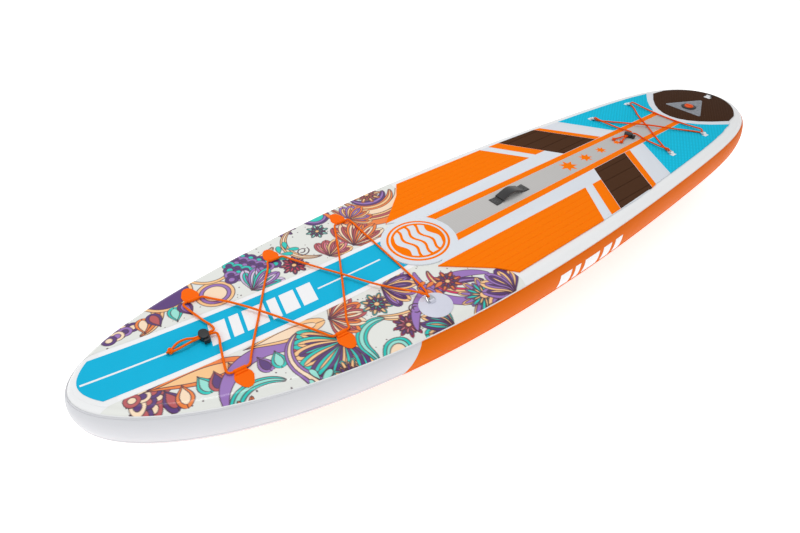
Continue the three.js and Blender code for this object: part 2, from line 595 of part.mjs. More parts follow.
const gripBody = archStrip(-GRIP_END, GRIP_END, 16, (distance) => strapHalfWidth(distance) + 2.5, -2.2, 8);
const slotHalfWidth = (distance) => strapHalfWidth(distance) + GAP;
const gripSlot = archStrip(-STRAP_END, STRAP_END, 26, slotHalfWidth, -GAP, 1.8 + 2 * GAP);
addPiece("handle_webbing", webbing, BLACK_WEBBING);
addPiece("handle_grip", cut(gripBody, gripSlot), BLACK_WEBBING);
for (const [place, distance] of [["front", -77], ["rear", 77]]) {
  const patch = box(46, 28, 1.5, 0, HANDLE_Y + distance, padSurface + 0.75);
  addPiece("handle_patch_" + place, patch, BLACK_WEBBING);
}

// Inflation valve: a flange with a sleeve through the deck, a nut below, a sprung stem and a cap
const FLANGE_FLOOR = THICKNESS + GAP;
const SLEEVE_BOTTOM = 112;
const flangeProfile = [
  [THROAT_RADIUS, SLEEVE_BOTTOM], [SLEEVE_RADIUS, SLEEVE_BOTTOM], [SLEEVE_RADIUS, FLANGE_FLOOR],
  [VALVE_RADIUS, FLANGE_FLOOR], [VALVE_RADIUS, FLANGE_FLOOR + 6], [VALVE_RADIUS - 4, FLANGE_FLOOR + 9],
  [22, FLANGE_FLOOR + 9], [22, FLANGE_FLOOR + 2], [THROAT_RADIUS, FLANGE_FLOOR + 2], [THROAT_RADIUS, SLEEVE_BOTTOM],
];
const SPIDER_TOP = 128;
const flange = turned(flangeProfile, 0, VALVE_Y, 0);
const spiderBar = box(2 * THROAT_RADIUS + 2, 5, 3, 0, VALVE_Y, SPIDER_TOP - 1.5);
const spiderHub = cylinder(5.5, 3, 0, VALVE_Y, SPIDER_TOP - 1.5, 12);
const stemHole = cylinder(2.6, 20, 0, VALVE_Y, SPIDER_TOP, 12);
addPiece("valve_flange", cut(join(flange, spiderBar, spiderHub), stemHole), BLACK_PLASTIC);
const nutProfile = [
  [SLEEVE_RADIUS + GAP, 139], [30, 139], [30, 148], [SLEEVE_RADIUS + GAP, 148], [SLEEVE_RADIUS + GAP, 139],
];
addPiece("valve_nut", turned(nutProfile, 0, VALVE_Y, 0), BLACK_PLASTIC);
const VALVE_TRAVEL = 6;
const stemProfile = [
  [0, 107], [16.5, 107], [16.5, 109], [14, SLEEVE_BOTTOM - GAP], [2.2, SLEEVE_BOTTOM - GAP], [2.2, 140],
  [6, 140], [6, 143], [0, 143],
];
addPiece("valve_stem", turned(stemProfile, 0, VALVE_Y, 0, 16), ORANGE_PLASTIC);
const valveSpring = springGeometry(4, 0.9, 10, 4, 9).translate(0, VALVE_Y, SPIDER_TOP + 0.9);
addPiece("valve_spring", valveSpring, STEEL);
const CAP_FLOOR = FLANGE_FLOOR + 2 + GAP;
const sealProfile = [[15.5, CAP_FLOOR], [18.5, CAP_FLOOR], [18.5, CAP_FLOOR + 1.6], [15.5, CAP_FLOOR + 1.6], [15.5, CAP_FLOOR]];
addPiece("valve_cap_seal", turned(sealProfile, 0, VALVE_Y, 0, 20), RUBBER);
const capProfile = [
  [0, CAP_FLOOR + 2], [21.4, CAP_FLOOR + 2], [21.4, CAP_FLOOR + 8.5], [19, CAP_FLOOR + 10.5], [0, CAP_FLOOR + 10.5],
];
const capBlade = box(32, 6, 5, 0, VALVE_Y, CAP_FLOOR + 12);
addPiece("valve_cap", join(turned(capProfile, 0, VALVE_Y, 0), capBlade), ORANGE_PLASTIC);

// Centre fin in its box, held by a cross clip
const BOX_LENGTH = 240;
const BOX_DEPTH = 19;
const FOOT_LENGTH = 200;
const footFront = FIN_BOX_Y - BOX_LENGTH / 2 + 26;
const boxPlate = box(64, BOX_LENGTH + 40, 3, 0, FIN_BOX_Y, -GAP - 1.5);
const boxBlock = box(34, BOX_LENGTH, BOX_DEPTH - 2, 0, FIN_BOX_Y, -GAP - 2 - (BOX_DEPTH - 2) / 2);
const footWay = box(20.8, FOOT_LENGTH + 60, 7, 0, footFront - 60 + (FOOT_LENGTH + 60) / 2 + GAP, -8.5);
const neckWay = box(8.8, FOOT_LENGTH + 60, 20, 0, footFront - 60 + (FOOT_LENGTH + 60) / 2 + GAP, -18.5);
const CLIP_Y = footFront - 9;
const clipWay = box(60, 10.8, 6.8, 0, CLIP_Y, -8.5);
addPiece("fin_box", cut(join(boxPlate, boxBlock), footWay, neckWay, clipWay), BLACK_PLASTIC);

const footRear = footFront + FOOT_LENGTH;
const finRoot = -BOX_DEPTH - GAP - 1;
const foot = box(20, FOOT_LENGTH, 6, 0, footFront + FOOT_LENGTH / 2, -8.5);
const finShape = new THREE.Shape();
finShape.moveTo(footFront, -9);
finShape.lineTo(footFront, finRoot);
finShape.bezierCurveTo(footFront + 40, -90, footFront + 120, -190, footFront + 232, -214);
finShape.bezierCurveTo(footFront + 262, -219, footFront + 262, -206, footFront + 246, -188);
finShape.bezierCurveTo(footFront + 205, -130, footRear - 8, -70, footRear, finRoot);
finShape.lineTo(footRear, -9);
const blade = new THREE.ExtrudeGeometry(finShape, { depth: 8, bevelEnabled: false, curveSegments: 8 });
blade.applyMatrix4(ALONG_YZ).translate(-4, 0, 0);
addPiece("centre_fin", join(foot, blade), BLACK_PLASTIC);
const clipBar = box(46, 10, 6, 3, CLIP_Y, -8.5);
const clipTab = box(5, 22, 12, 28, CLIP_Y, -11.5);
addPiece("fin_clip", join(clipBar, clipTab), ORANGE_PLASTIC);

// Side fins, moulded with their own glued bases
const SIDE_FIN_X = 225;
const SIDE_FIN_Y = 1040;
function sideFin(x) {
  const base = box(30, 130, 3, x, SIDE_FIN_Y, -GAP - 1.5);
  const outline = new THREE.Shape();
  outline.moveTo(SIDE_FIN_Y - 55, -2);
  outline.bezierCurveTo(SIDE_FIN_Y - 30, -50, SIDE_FIN_Y + 10, -98, SIDE_FIN_Y + 62, -112);
  outline.bezierCurveTo(SIDE_FIN_Y + 80, -114, SIDE_FIN_Y + 72, -104, SIDE_FIN_Y + 66, -94);
  outline.bezierCurveTo(SIDE_FIN_Y + 52, -66, SIDE_FIN_Y + 48, -36, SIDE_FIN_Y + 55, -2);
  const wing = new THREE.ExtrudeGeometry(outline, { depth: 5, bevelEnabled: false, curveSegments: 6 });
  wing.applyMatrix4(ALONG_YZ).translate(x - 2.5, 0, 0);
  return join(base, wing);
}
addPiece("side_fin_port", sideFin(SIDE_FIN_X), BLACK_PLASTIC);
addPiece("side_fin_starboard", sideFin(-SIDE_FIN_X), BLACK_PLASTIC);

export default board;
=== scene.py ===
"""Looks of an inflatable stand up paddleboard: hull, printed nose, foam deck pads, bungees, handle, valve
and fins. Metres; +X is port, +Y runs to the tail, +Z is up, and the flat bottom of the hull is z = 0."""
import math
from contextlib import contextmanager

import bpy
import numpy as np
from mathutils import Matrix, Vector


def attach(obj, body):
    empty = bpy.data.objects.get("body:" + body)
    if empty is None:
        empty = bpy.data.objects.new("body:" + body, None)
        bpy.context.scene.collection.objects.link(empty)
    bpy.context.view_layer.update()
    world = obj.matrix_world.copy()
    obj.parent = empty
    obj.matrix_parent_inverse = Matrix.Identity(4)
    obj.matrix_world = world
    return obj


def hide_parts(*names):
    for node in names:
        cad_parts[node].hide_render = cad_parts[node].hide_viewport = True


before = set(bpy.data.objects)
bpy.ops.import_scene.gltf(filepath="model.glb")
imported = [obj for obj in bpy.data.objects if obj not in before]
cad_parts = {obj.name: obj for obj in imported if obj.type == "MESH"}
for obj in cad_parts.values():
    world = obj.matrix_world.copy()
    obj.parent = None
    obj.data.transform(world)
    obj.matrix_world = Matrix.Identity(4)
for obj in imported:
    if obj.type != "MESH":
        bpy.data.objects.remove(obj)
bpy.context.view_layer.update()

# Camera: a person's view from beside the nose, looking back over the deck to the tail. The three angles are
# in radians, and a small shift centres the board in the view.
CAMERA_PLACE = (1.2254, -1.4379, 1.4052)
YAW, PITCH, ROLL = -0.9183, 0.6568, -0.0085
camera = bpy.data.objects.new("camera", bpy.data.cameras.new("camera"))
bpy.context.scene.collection.objects.link(camera)
forward = Vector((math.sin(YAW) * math.cos(PITCH), math.cos(YAW) * math.cos(PITCH), -math.sin(PITCH)))
level = Vector((math.cos(YAW), -math.sin(YAW), 0))
right = math.cos(ROLL) * level + math.sin(ROLL) * level.cross(forward)
above = right.cross(forward)
turned = Matrix((right, above, -forward)).transposed().to_4x4()
camera.matrix_world = Matrix.Translation(CAMERA_PLACE) @ turned
camera.data.lens = 25.368
camera.data.sensor_width = 36
camera.data.shift_x, camera.data.shift_y = -0.0063, -0.0425
camera.data.clip_start, camera.data.clip_end = 0.05, 60
bpy.context.scene.camera = camera

# Studio: a pale floor just under the fins, a white surround, one broad soft light overhead and a weaker one
# by the nose. The floor glows a little, so that it stays pale.
FLOOR_Z = -0.222
world = bpy.data.worlds.new("studio")
world.use_nodes = True
world.node_tree.nodes["Background"].inputs["Color"].default_value = (1, 1, 1, 1)
world.node_tree.nodes["Background"].inputs["Strength"].default_value = 0.72
bpy.context.scene.world = world
bpy.context.scene.view_settings.view_transform = "Standard"


def soft_light(name, place, target, size, power):
    light = bpy.data.objects.new(name, bpy.data.lights.new(name, "AREA"))
    light.data.shape = "DISK"
    light.data.size = size
    light.data.energy = power
    light.location = place
    light.rotation_euler = (Vector(target) - Vector(place)).to_track_quat("-Z", "Y").to_euler()
    bpy.context.scene.collection.objects.link(light)


soft_light("light_overhead", (-0.9, -0.6, 3.2), (0, 0, 0), 1.2, 26)
soft_light("light_nose", (1.2, -3.4, 2.4), (0, -0.6, 0), 2.0, 12)


def clear_selection():
    if bpy.context.object and bpy.context.object.mode != "OBJECT":
        bpy.ops.object.mode_set(mode="OBJECT")
    bpy.ops.object.select_all(action="DESELECT")


def linear(part):
    """Linear value of one part of a colour that is given from 0 to 255."""
    share = part / 255
    return share / 12.92 if share <= 0.04045 else ((share + 0.055) / 1.055) ** 2.4


class Finish:
    """A node material built step by step on Object coordinates."""

    BAND_REPEAT = 0.314  # metres between the wave texture's bands at scale 1

    def __init__(self, name, colour, roughness, **sockets):
        self.material = bpy.data.materials.new(name)
        self.material.use_nodes = True
        self.nodes = self.material.node_tree.nodes
        self.links = self.material.node_tree.links
        self.shader = self.nodes["Principled BSDF"]
        self.colour = tuple(linear(part) for part in colour) + (1,)
        self.shader.inputs["Base Color"].default_value = self.colour
        self.shader.inputs["Roughness"].default_value = roughness
        for socket, value in sockets.items():
            self.shader.inputs[socket.replace("_", " ")].default_value = value
        self.place = self.nodes.new("ShaderNodeTexCoord").outputs["Object"]
        self.height = None

    def node(self, kind, inputs=(), **settings):
        made = self.nodes.new("ShaderNode" + kind)
        for setting, value in settings.items():
            setattr(made, setting, value)
        for socket, value in dict(inputs).items():
            if hasattr(value, "is_output"):
                self.links.new(value, made.inputs[socket])
            else:
                made.inputs[socket].default_value = value
        return made

    def noise(self, scale, detail=3, source=None):
        settings = {"Vector": source or self.place, "Scale": scale, "Detail": detail}
        return self.node("TexNoise", settings).outputs["Fac"]

    def mottle(self, scale, spread):
        """Lightens and darkens the colour by up to spread, in patches."""
        low = tuple(part * (1 - spread) for part in self.colour[:3]) + (1,)
        high = tuple(min(1, part * (1 + spread)) for part in self.colour[:3]) + (1,)
        mix = self.node("Mix", {0: self.noise(scale), 6: low, 7: high}, data_type="RGBA")
        self.links.new(mix.outputs[2], self.shader.inputs["Base Color"])
        return self

    def shaded(self, pattern, spread):
        """Scales the colour made so far by up to spread either way, after a pattern."""
        gain = self.node("MapRange", {"Value": pattern, "To Min": 1 - spread, "To Max": 1 + spread})
        made_so_far = self.shader.inputs["Base Color"].links[0].from_socket
        scaled = self.node("VectorMath", {0: made_so_far, "Scale": gain.outputs["Result"]}, operation="SCALE")
        self.links.new(scaled.outputs["Vector"], self.shader.inputs["Base Color"])
        return self

    def worn(self, scale, low, high):
        """Roughness that changes from low to high in patches."""
        span = self.node("MapRange", {"Value": self.noise(scale), "To Min": low, "To Max": high})
        self.links.new(span.outputs["Result"], self.shader.inputs["Roughness"])
        return self

    def relief(self, height, distance, strength=1.0):
        """Adds a bump of that height in metres on top of those already there."""
        settings = {"Height": height, "Distance": distance, "Strength": strength}
        if self.height:
            settings["Normal"] = self.height
        self.height = self.node("Bump", settings).outputs["Normal"]
        self.links.new(self.height, self.shader.inputs["Normal"])
        return self

    def wave(self, pitch, axis="X", source=None):
        """Parallel ridges that far apart."""
        settings = {"Vector": source or self.place, "Scale": self.BAND_REPEAT / pitch, "Distortion": 0.0}
        return self.node("TexWave", settings, bands_direction=axis).outputs["Fac"]


floor_finish = Finish("floor_paper", (252, 252, 252), 0.9, Emission_Strength=0.62).mottle(3, 0.01)
floor_finish.shader.inputs["Emission Color"].default_value = (1, 1, 1, 1)
clear_selection()
bpy.ops.mesh.primitive_plane_add(size=30, location=(0, 0, FLOOR_Z))
floor = bpy.context.object
floor.name = "floor"
floor.data.materials.append(floor_finish.material)

# Deck skin: coated fabric glued over the drop-stitch core and wrapped a little way down the rail. The plan
# is a superellipse at the nose and a squashed one at the tail, the rail is a half ellipse, and the nose lifts
# in a smooth rocker.
NOSE_Y, TAIL_Y, WIDEST_Y = -1.6, 1.6, -0.15
HALF_WIDTH, THICKNESS, RAIL_DEPTH = 0.4035, 0.15, 0.044
ROCKER_START_Y, NOSE_LIFT, ROCKER_POWER = -0.4, 0.0775, 2.55
STATIONS = 288
TANGENT_REACH = 0.0028
SKIN_THICKNESS = 0.0012
SKIN_ANGLES = [38, 45, 52, 60, 68, 76, 83, 90]


def half_width(y):
    if y < WIDEST_Y:
        share = (WIDEST_Y - y) / (WIDEST_Y - NOSE_Y)
        return HALF_WIDTH * max(0, 1 - share**2.2) ** 0.513
    share = (y - WIDEST_Y) / (TAIL_Y - WIDEST_Y)
    return HALF_WIDTH * (1 - 0.105 * (1 - math.cos(math.pi * share))) * math.sqrt(max(0, 1 - share**8))


def rocker(y):
    return NOSE_LIFT * (np.maximum(0, ROCKER_START_Y - y) / (ROCKER_START_Y - NOSE_Y)) ** ROCKER_POWER


def outline_point(turn):
    """Point of the plan outline; turn 0 is the nose, and 0.5 is the tail, round by port."""
    angle = 2 * math.pi * turn
    reach = WIDEST_Y - NOSE_Y if math.cos(angle) > 0 else TAIL_Y - WIDEST_Y
    y = WIDEST_Y - math.cos(angle) * reach
    return Vector((math.copysign(half_width(y), math.sin(angle)), y))


def inset_point(turn, inset):
    """Point of the outline moved in from the edge, square to it."""
    along = (outline_point(turn + TANGENT_REACH) - outline_point(turn - TANGENT_REACH)).normalized()
    return outline_point(turn) + Vector((-along.y, along.x)) * inset


def hull_point(turn, degrees, depth):
    """Point of the hull's skin, depth under the surface; 90 degrees is the deck and -90 the bottom."""
    phi = math.radians(degrees)
    plan = inset_point(turn, depth + (RAIL_DEPTH - depth) * (1 - math.cos(phi)))
    height = THICKNESS / 2 + (THICKNESS / 2 - depth) * math.sin(phi)
    return Vector((plan.x, plan.y, height + rocker(plan.y)))


def pick(piece):
    clear_selection()
    piece.select_set(True)
    bpy.context.view_layer.objects.active = piece


@contextmanager
def editing(piece, choice=None):
    """Edit mode on one piece: SELECT chooses all of it, DESELECT none, and None keeps what is chosen."""
    pick(piece)
    bpy.ops.object.mode_set(mode="EDIT")
    if choice:
        bpy.ops.mesh.select_all(action=choice)
    yield
    bpy.ops.object.mode_set(mode="OBJECT")


def select_only(piece, kind, wanted):
    """Chooses the elements of that kind, VERT, EDGE or FACE, that a test accepts, and nothing else."""
    with editing(piece, "DESELECT"):
        bpy.ops.mesh.select_mode(type=kind)
    mesh = piece.data
    for element in {"VERT": mesh.vertices, "EDGE": mesh.edges, "FACE": mesh.polygons}[kind]:
        element.select = wanted(element)


def flip(piece):
    """Turns every face of a piece round."""
    with editing(piece, "SELECT"):
        bpy.ops.mesh.flip_normals()


def rail_band(angles, depth):
    """A band all round the hull, from a grid wrapped on its rail and joined where its ends meet."""
    clear_selection()
    bpy.ops.mesh.primitive_grid_add(x_subdivisions=STATIONS, y_subdivisions=len(angles) - 1)
    band = bpy.context.object
    for point in band.data.vertices:
        row, station = divmod(point.index, STATIONS + 1)
        point.co = hull_point((station % STATIONS) / STATIONS, angles[row], depth)
    with editing(band, "SELECT"):
        bpy.ops.mesh.remove_doubles(threshold=1e-5)
    return band


def close_across(band, degrees):
    """Bridges the two long edges of a band at that rail angle, and fills the nose and tail corners."""
    edge_points = []
    for k in range(STATIONS):
        place = hull_point(k / STATIONS, degrees, 0)
        edge_points.append(min(band.data.vertices, key=lambda v: (v.co - place).length_squared).index)
    half = STATIONS // 2
    sides = [set(edge_points[1:half]), set(edge_points[half + 1:])]
    select_only(band, "EDGE", lambda edge: any(set(edge.vertices) <= side for side in sides))
    with editing(band):
        bpy.ops.mesh.bridge_edge_loops()
    for tip in (0, half):
        corner = [edge_points[(tip + step) % STATIONS] for step in (-1, 0, 1)]
        select_only(band, "VERT", lambda point: point.index in corner)
        with editing(band):
            bpy.ops.mesh.edge_face_add()


def face_outwards(piece):
    """Makes the faces of a shell point away from the middle of the hull."""
    with editing(piece, "SELECT"):
        bpy.ops.mesh.normals_make_consistent(inside=False)
    lean = sum(
        face.area * face.normal.dot(face.center - Vector((0, face.center.y, THICKNESS / 2)))
        for face in piece.data.polygons
    )
    if lean < 0:
        flip(piece)


def dress(piece, name, body, finish, replaced=()):
    """Names a finished piece, gives it its finish and puts it on its body."""
    pick(piece)
    bpy.ops.object.transform_apply(location=True, rotation=True, scale=True)
    piece.name = name
    piece.data.name = name
    piece.data.materials.clear()
    piece.data.materials.append(finish.material)
    for face in piece.data.polygons:
        face.material_index = 0
    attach(piece, body)
    if replaced:
        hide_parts(*replaced)
    return piece


def apply_modifier(piece, kind, **settings):
    pick(piece)
    modifier = piece.modifiers.new(kind.lower(), kind)
    for setting, value in settings.items():
        setattr(modifier, setting, value)
    bpy.ops.object.modifier_apply(modifier=modifier.name)


def ease(piece, width, segments, degrees):
    """Rounds the edges that are sharper than that angle."""
    limit = math.radians(degrees)
    apply_modifier(piece, "BEVEL", width=width, segments=segments, limit_method="ANGLE", angle_limit=limit)


def smooth(piece, degrees=35):
    pick(piece)
    bpy.ops.object.shade_smooth_by_angle(angle=math.radians(degrees))


def pvc(name, colour, roughness=0.4, shine=0.3, coat=0.08):
    """Coated fabric: a fine plain weave that shows through a glossy skin."""
    made = Finish(name, colour, roughness, Specular_IOR_Level=shine, Coat_Weight=coat, Coat_Roughness=0.25)
    made.mottle(5, 0.02).worn(9, roughness - 0.06, roughness + 0.08)
    weave = made.node("Math", {0: made.wave(0.0011, "X"), 1: made.wave(0.0011, "Y")}, operation="MULTIPLY")
    return made.relief(weave.outputs[0], 0.00005, 0.5).relief(made.noise(7, 2), 0.0012, 0.25)


def hull_skin(name, side, finish, node):
    """The deck's skin at side 1, or the bottom's at side -1."""
    skin = rail_band([side * angle for angle in SKIN_ANGLES], 0)
    close_across(skin, side * 90)
    face_outwards(skin)
    apply_modifier(skin, "SOLIDIFY", thickness=SKIN_THICKNESS, offset=-1)
    smooth(skin)
    dress(skin, name, "board", finish, [node])


deck_white = pvc("deck_white_pvc", (239, 240, 241), 0.38)
hull_skin("deck_skin", 1, deck_white, "deck_panel")

# Bottom skin: the same fabric in orange, cut to the same outline as the deck's and wrapped up under the lower
# edge of the side wall.
bottom_orange = pvc("bottom_orange_pvc", (206, 90, 14), 0.48, 0.1, 0.0)
hull_skin("bottom_skin", -1, bottom_orange, "bottom_panel")

# Side wall: a broad strip glued over both skins, white round the nose and orange behind a leaning joint,
# with a narrower seam tape along its upper and lower edges.
# Both wall colours, also used by the seam tapes, are darker than the same fabric's white and orange on the
# deck and tabs. This is painted shade that takes back the light the glowing floor throws on the side walls.
wall_white_shaded = pvc("side_wall_white_pvc", (209, 210, 214), 0.36, 0.2)
wall_orange_shaded = pvc("side_wall_orange_pvc", (222, 105, 6), 0.48, 0.06, 0.0)
COLOUR_CHANGE = Vector((0, -0.76, THICKNESS / 2))
COLOUR_LEAN = 0.6
WALL_DEPTH = -0.00155
WALL_ANGLES = [-47, -40, -32, -24, -16, -8, 0, 8, 16, 24, 32, 40, 47]
TAPE_THICKNESS = 0.0007
TAPE_ANGLES = [27, 32, 37, 42]


def cut_at_joint(piece, keep_rear):
    """Cuts a band on the leaning joint between the two colours and keeps one side."""
    across = (0, math.cos(COLOUR_LEAN), -math.sin(COLOUR_LEAN))
    with editing(piece, "SELECT"):
        bpy.ops.mesh.bisect(
            plane_co=COLOUR_CHANGE, plane_no=across, clear_inner=keep_rear, clear_outer=not keep_rear
        )


def wall_pair(label, angles, depth, thickness, replaced=None):
    """A white strip round the nose and an orange one behind it, over the same rail angles."""
    for place, finish, slot in (("nose", wall_white_shaded, "white_pvc"), ("rear", wall_orange_shaded, "orange_pvc")):
        wall = rail_band(angles, depth)
        face_outwards(wall)
        cut_at_joint(wall, place == "rear")
        apply_modifier(wall, "SOLIDIFY", thickness=thickness, offset=-1)
        smooth(wall)
        dress(wall, label + "_" + place, "board", finish, [replaced[place]] if replaced else ())


wall_nodes = {"nose": "side_wall_front", "rear": "side_wall_rear"}
wall_pair("side_wall", WALL_ANGLES, WALL_DEPTH, SKIN_THICKNESS, wall_nodes)
wall_pair("seam_tape_upper", TAPE_ANGLES, WALL_DEPTH - TAPE_THICKNESS, TAPE_THICKNESS)
lower_angles = [-angle for angle in reversed(TAPE_ANGLES)]
wall_pair("seam_tape_lower", lower_angles, WALL_DEPTH - TAPE_THICKNESS, TAPE_THICKNESS)

# Rail marks: five plain white slanted bars amidships on each side wall, screen-printed on the fabric before
# it is glued.
RAIL_MARKS = ((-0.145, 0.06), (-0.065, 0.03), (-0.01, 0.085), (0.1, 0.05), (0.175, 0.045))
RAIL_MARK_TOP, RAIL_MARK_BOTTOM, RAIL_MARK_LEAN = 16, -26, 0.012
RAIL_MARK_COLUMNS, RAIL_MARK_ROWS = 8, 6
RAIL_MARK_LIFT, RAIL_MARK_THICKNESS = 0.0003, 0.0002
mark_white = pvc("rail_mark_white", (238, 239, 241), 0.4)


def rail_mark(side, start, length):
    """A small sheet wrapped on the side wall; its columns run to the tail and its rows up."""
    clear_selection()
    bpy.ops.mesh.primitive_grid_add(x_subdivisions=RAIL_MARK_COLUMNS, y_subdivisions=RAIL_MARK_ROWS)
    mark = bpy.context.object
    for point in mark.data.vertices:
        row, column = divmod(point.index, RAIL_MARK_COLUMNS + 1)
        y = start + length * column / RAIL_MARK_COLUMNS + RAIL_MARK_LEAN * row / RAIL_MARK_ROWS
        reach = TAIL_Y - WIDEST_Y if y > WIDEST_Y else WIDEST_Y - NOSE_Y
        turn = side * math.acos((WIDEST_Y - y) / reach) / (2 * math.pi)
        degrees = RAIL_MARK_BOTTOM + (RAIL_MARK_TOP - RAIL_MARK_BOTTOM) * row / RAIL_MARK_ROWS
        point.co = hull_point(turn, degrees, WALL_DEPTH - RAIL_MARK_LIFT)
    return mark


def join_pieces(parts):
    pick(parts[0])
    for part in parts[1:]:
        part.select_set(True)
    bpy.ops.object.join()
    return bpy.context.object


for side, name in ((1, "port"), (-1, "starboard")):
    marks = join_pieces([rail_mark(side, start, length) for start, length in RAIL_MARKS])
    if marks.data.polygons[0].normal.x * side < 0:
        flip(marks)
    apply_modifier(marks, "SOLIDIFY", thickness=RAIL_MARK_THICKNESS, offset=-1)
    smooth(marks)
    dress(marks, "rail_white_marks_" + name, "board", mark_white)

# Nose bands: the front deck is printed before it is glued. The middle carries a cyan band edged in white,
# with six plain slanted bars between two stretches of a white line.
PRINT_LIFT, FILM = 0.0004, 0.0002
NOSE_BAND = 0.0997
CYAN_HALF = 0.0806
DISC_Y = -0.443
NOSE_STEPS = 2880
OUTLINE_STEPS = 720
OUTLINE = np.array([outline_point(k / OUTLINE_STEPS) for k in range(OUTLINE_STEPS)])


def deck_height(x, y):
    """Height of the deck's surface over an array of places, rounded off towards the rail."""
    x, y = np.atleast_1d(x).astype(float), np.atleast_1d(y).astype(float)
    inset = np.full(len(x), np.inf)
    ahead = np.roll(OUTLINE, -1, axis=0)
    for start, end in zip(OUTLINE, ahead):
        span = end - start
        share = np.clip(((x - start[0]) * span[0] + (y - start[1]) * span[1]) / (span @ span), 0, 1)
        gap = np.hypot(x - start[0] - share * span[0], y - start[1] - share * span[1])
        inset = np.minimum(inset, gap)
    cosine = np.clip(1 - inset / RAIL_DEPTH, 0, 1)
    return THICKNESS / 2 * (1 + np.sqrt(1 - cosine**2)) + rocker(y)


def filled_outline(outline):
    """A flat sheet of that outline at height zero, facing up."""
    clear_selection()
    bpy.ops.mesh.primitive_circle_add(vertices=len(outline), fill_type="NGON")
    sheet = bpy.context.object
    for point, (x, y) in zip(sheet.data.vertices, outline):
        point.co = (x, y, 0)
    sheet.data.update()
    if sheet.data.polygons[0].normal.z < 0:
        flip(sheet)
    return sheet


def slice_every(sheet, step):
    """Cuts a flat sheet across every step along the board, so that it can follow the rocker."""
    low = min(point.co.y for point in sheet.data.vertices)
    high = max(point.co.y for point in sheet.data.vertices)
    with editing(sheet):
        for cut in np.arange(low + step, high - step / 3, step):
            bpy.ops.mesh.select_all(action="SELECT")
            bpy.ops.mesh.bisect(plane_co=(0, cut, 0), plane_no=(0, 1, 0))


def lay_on_deck(sheet, height):
    places = np.array([point.co[:2] for point in sheet.data.vertices])
    tops = deck_height(places[:, 0], places[:, 1])
    for point, top in zip(sheet.data.vertices, tops):
        point.co.z = top + height


def deck_print(name, outlines, layer, finish):
    """Flat shapes of one colour laid on the deck; each layer lies over the one before it."""
    parts = [filled_outline(outline) for outline in outlines]
    sheet = join_pieces(parts)
    slice_every(sheet, 0.03)
    lay_on_deck(sheet, PRINT_LIFT + layer * FILM)
    apply_modifier(sheet, "SOLIDIFY", thickness=FILM * 0.8, offset=-1)
    return dress(sheet, name, "board", finish)


def nose_run(half, inset):
    """Half outline of the nose, inset from the board's edge, from the middle out to x = half."""
    places = [inset_point(k / NOSE_STEPS, inset) for k in range(NOSE_STEPS // 14)]
    return [(place.x, place.y) for place in places if place.x < half]


def band_outline(half, inset, rear_radius):
    """A band of that half width from the rounded nose back to a round notch in front of the disc."""
    edge = np.linspace(half, 0, 7)
    notch = [(x, DISC_Y - math.sqrt(rear_radius**2 - x * x)) for x in edge]
    side = nose_run(half, inset)[::4] + notch
    return side + [(-x, y) for x, y in side[::-1][1:-1]]


print_white = Finish("print_white", (243, 244, 246), 0.4, Coat_Weight=0.2).mottle(30, 0.01)
print_cyan = Finish("print_cyan", (0, 180, 221), 0.45, Specular_IOR_Level=0.12).mottle(22, 0.03)
print_cyan.relief(print_cyan.noise(7, 2), 0.0012, 0.25)
deck_print("nose_white_band", [band_outline(NOSE_BAND, 0.03, 0.13)], 0, print_white)
deck_print("nose_cyan_band", [band_outline(CYAN_HALF, 0.042, 0.1355)], 1, print_cyan)

LINE_HALF = 0.0032
lines = [
    [(-LINE_HALF, start), (LINE_HALF, start), (LINE_HALF, end), (-LINE_HALF, end)]
    for start, end in ((-1.552, -1.312), (-0.856, -0.611))
]
BAR_HALF, BAR_SLANT = 0.044, 0.018
BARS = ((-1.222, 0.052), (-1.158, 0.03), (-1.116, 0.07), (-1.034, 0.03), (-0.992, 0.05), (-0.93, 0.05))
bars = []
for start, length in BARS:
    port_edge = [(BAR_HALF, start), (BAR_HALF, start + length)]
    bars.append(port_edge + [(-BAR_HALF, start + length + BAR_SLANT), (-BAR_HALF, start + BAR_SLANT)])
deck_print("nose_white_marks", lines + bars, 2, print_white)

# Nose print: blossoms, fans, scales, drops and ribbons with dark outlines on an off-white ground. It is
# painted point by point on a fine sheet that lies on the deck from the white band to the rail.
GROUND = (228, 230, 225)
PLUM, LILAC, TEAL, MINT = (84, 44, 118), (152, 112, 186), (0, 200, 188), (150, 226, 212)
PEACH, ROSE, PINK, ORANGE = (250, 198, 138), (186, 82, 86), (226, 124, 138), (240, 128, 50)
MAGENTA, CREAM, PALE_LILAC = (222, 28, 92), (250, 222, 190), (216, 200, 232)
OUTLINE_DARK = (70, 30, 50)
LINE, INK_BLUR = 0.0028, 0.0016
PRINT_INSET, PRINT_REAR_Y = 0.0165, -0.3
PRINT_ROWS, PRINT_COLUMNS = 560, 120
DOTS = 170


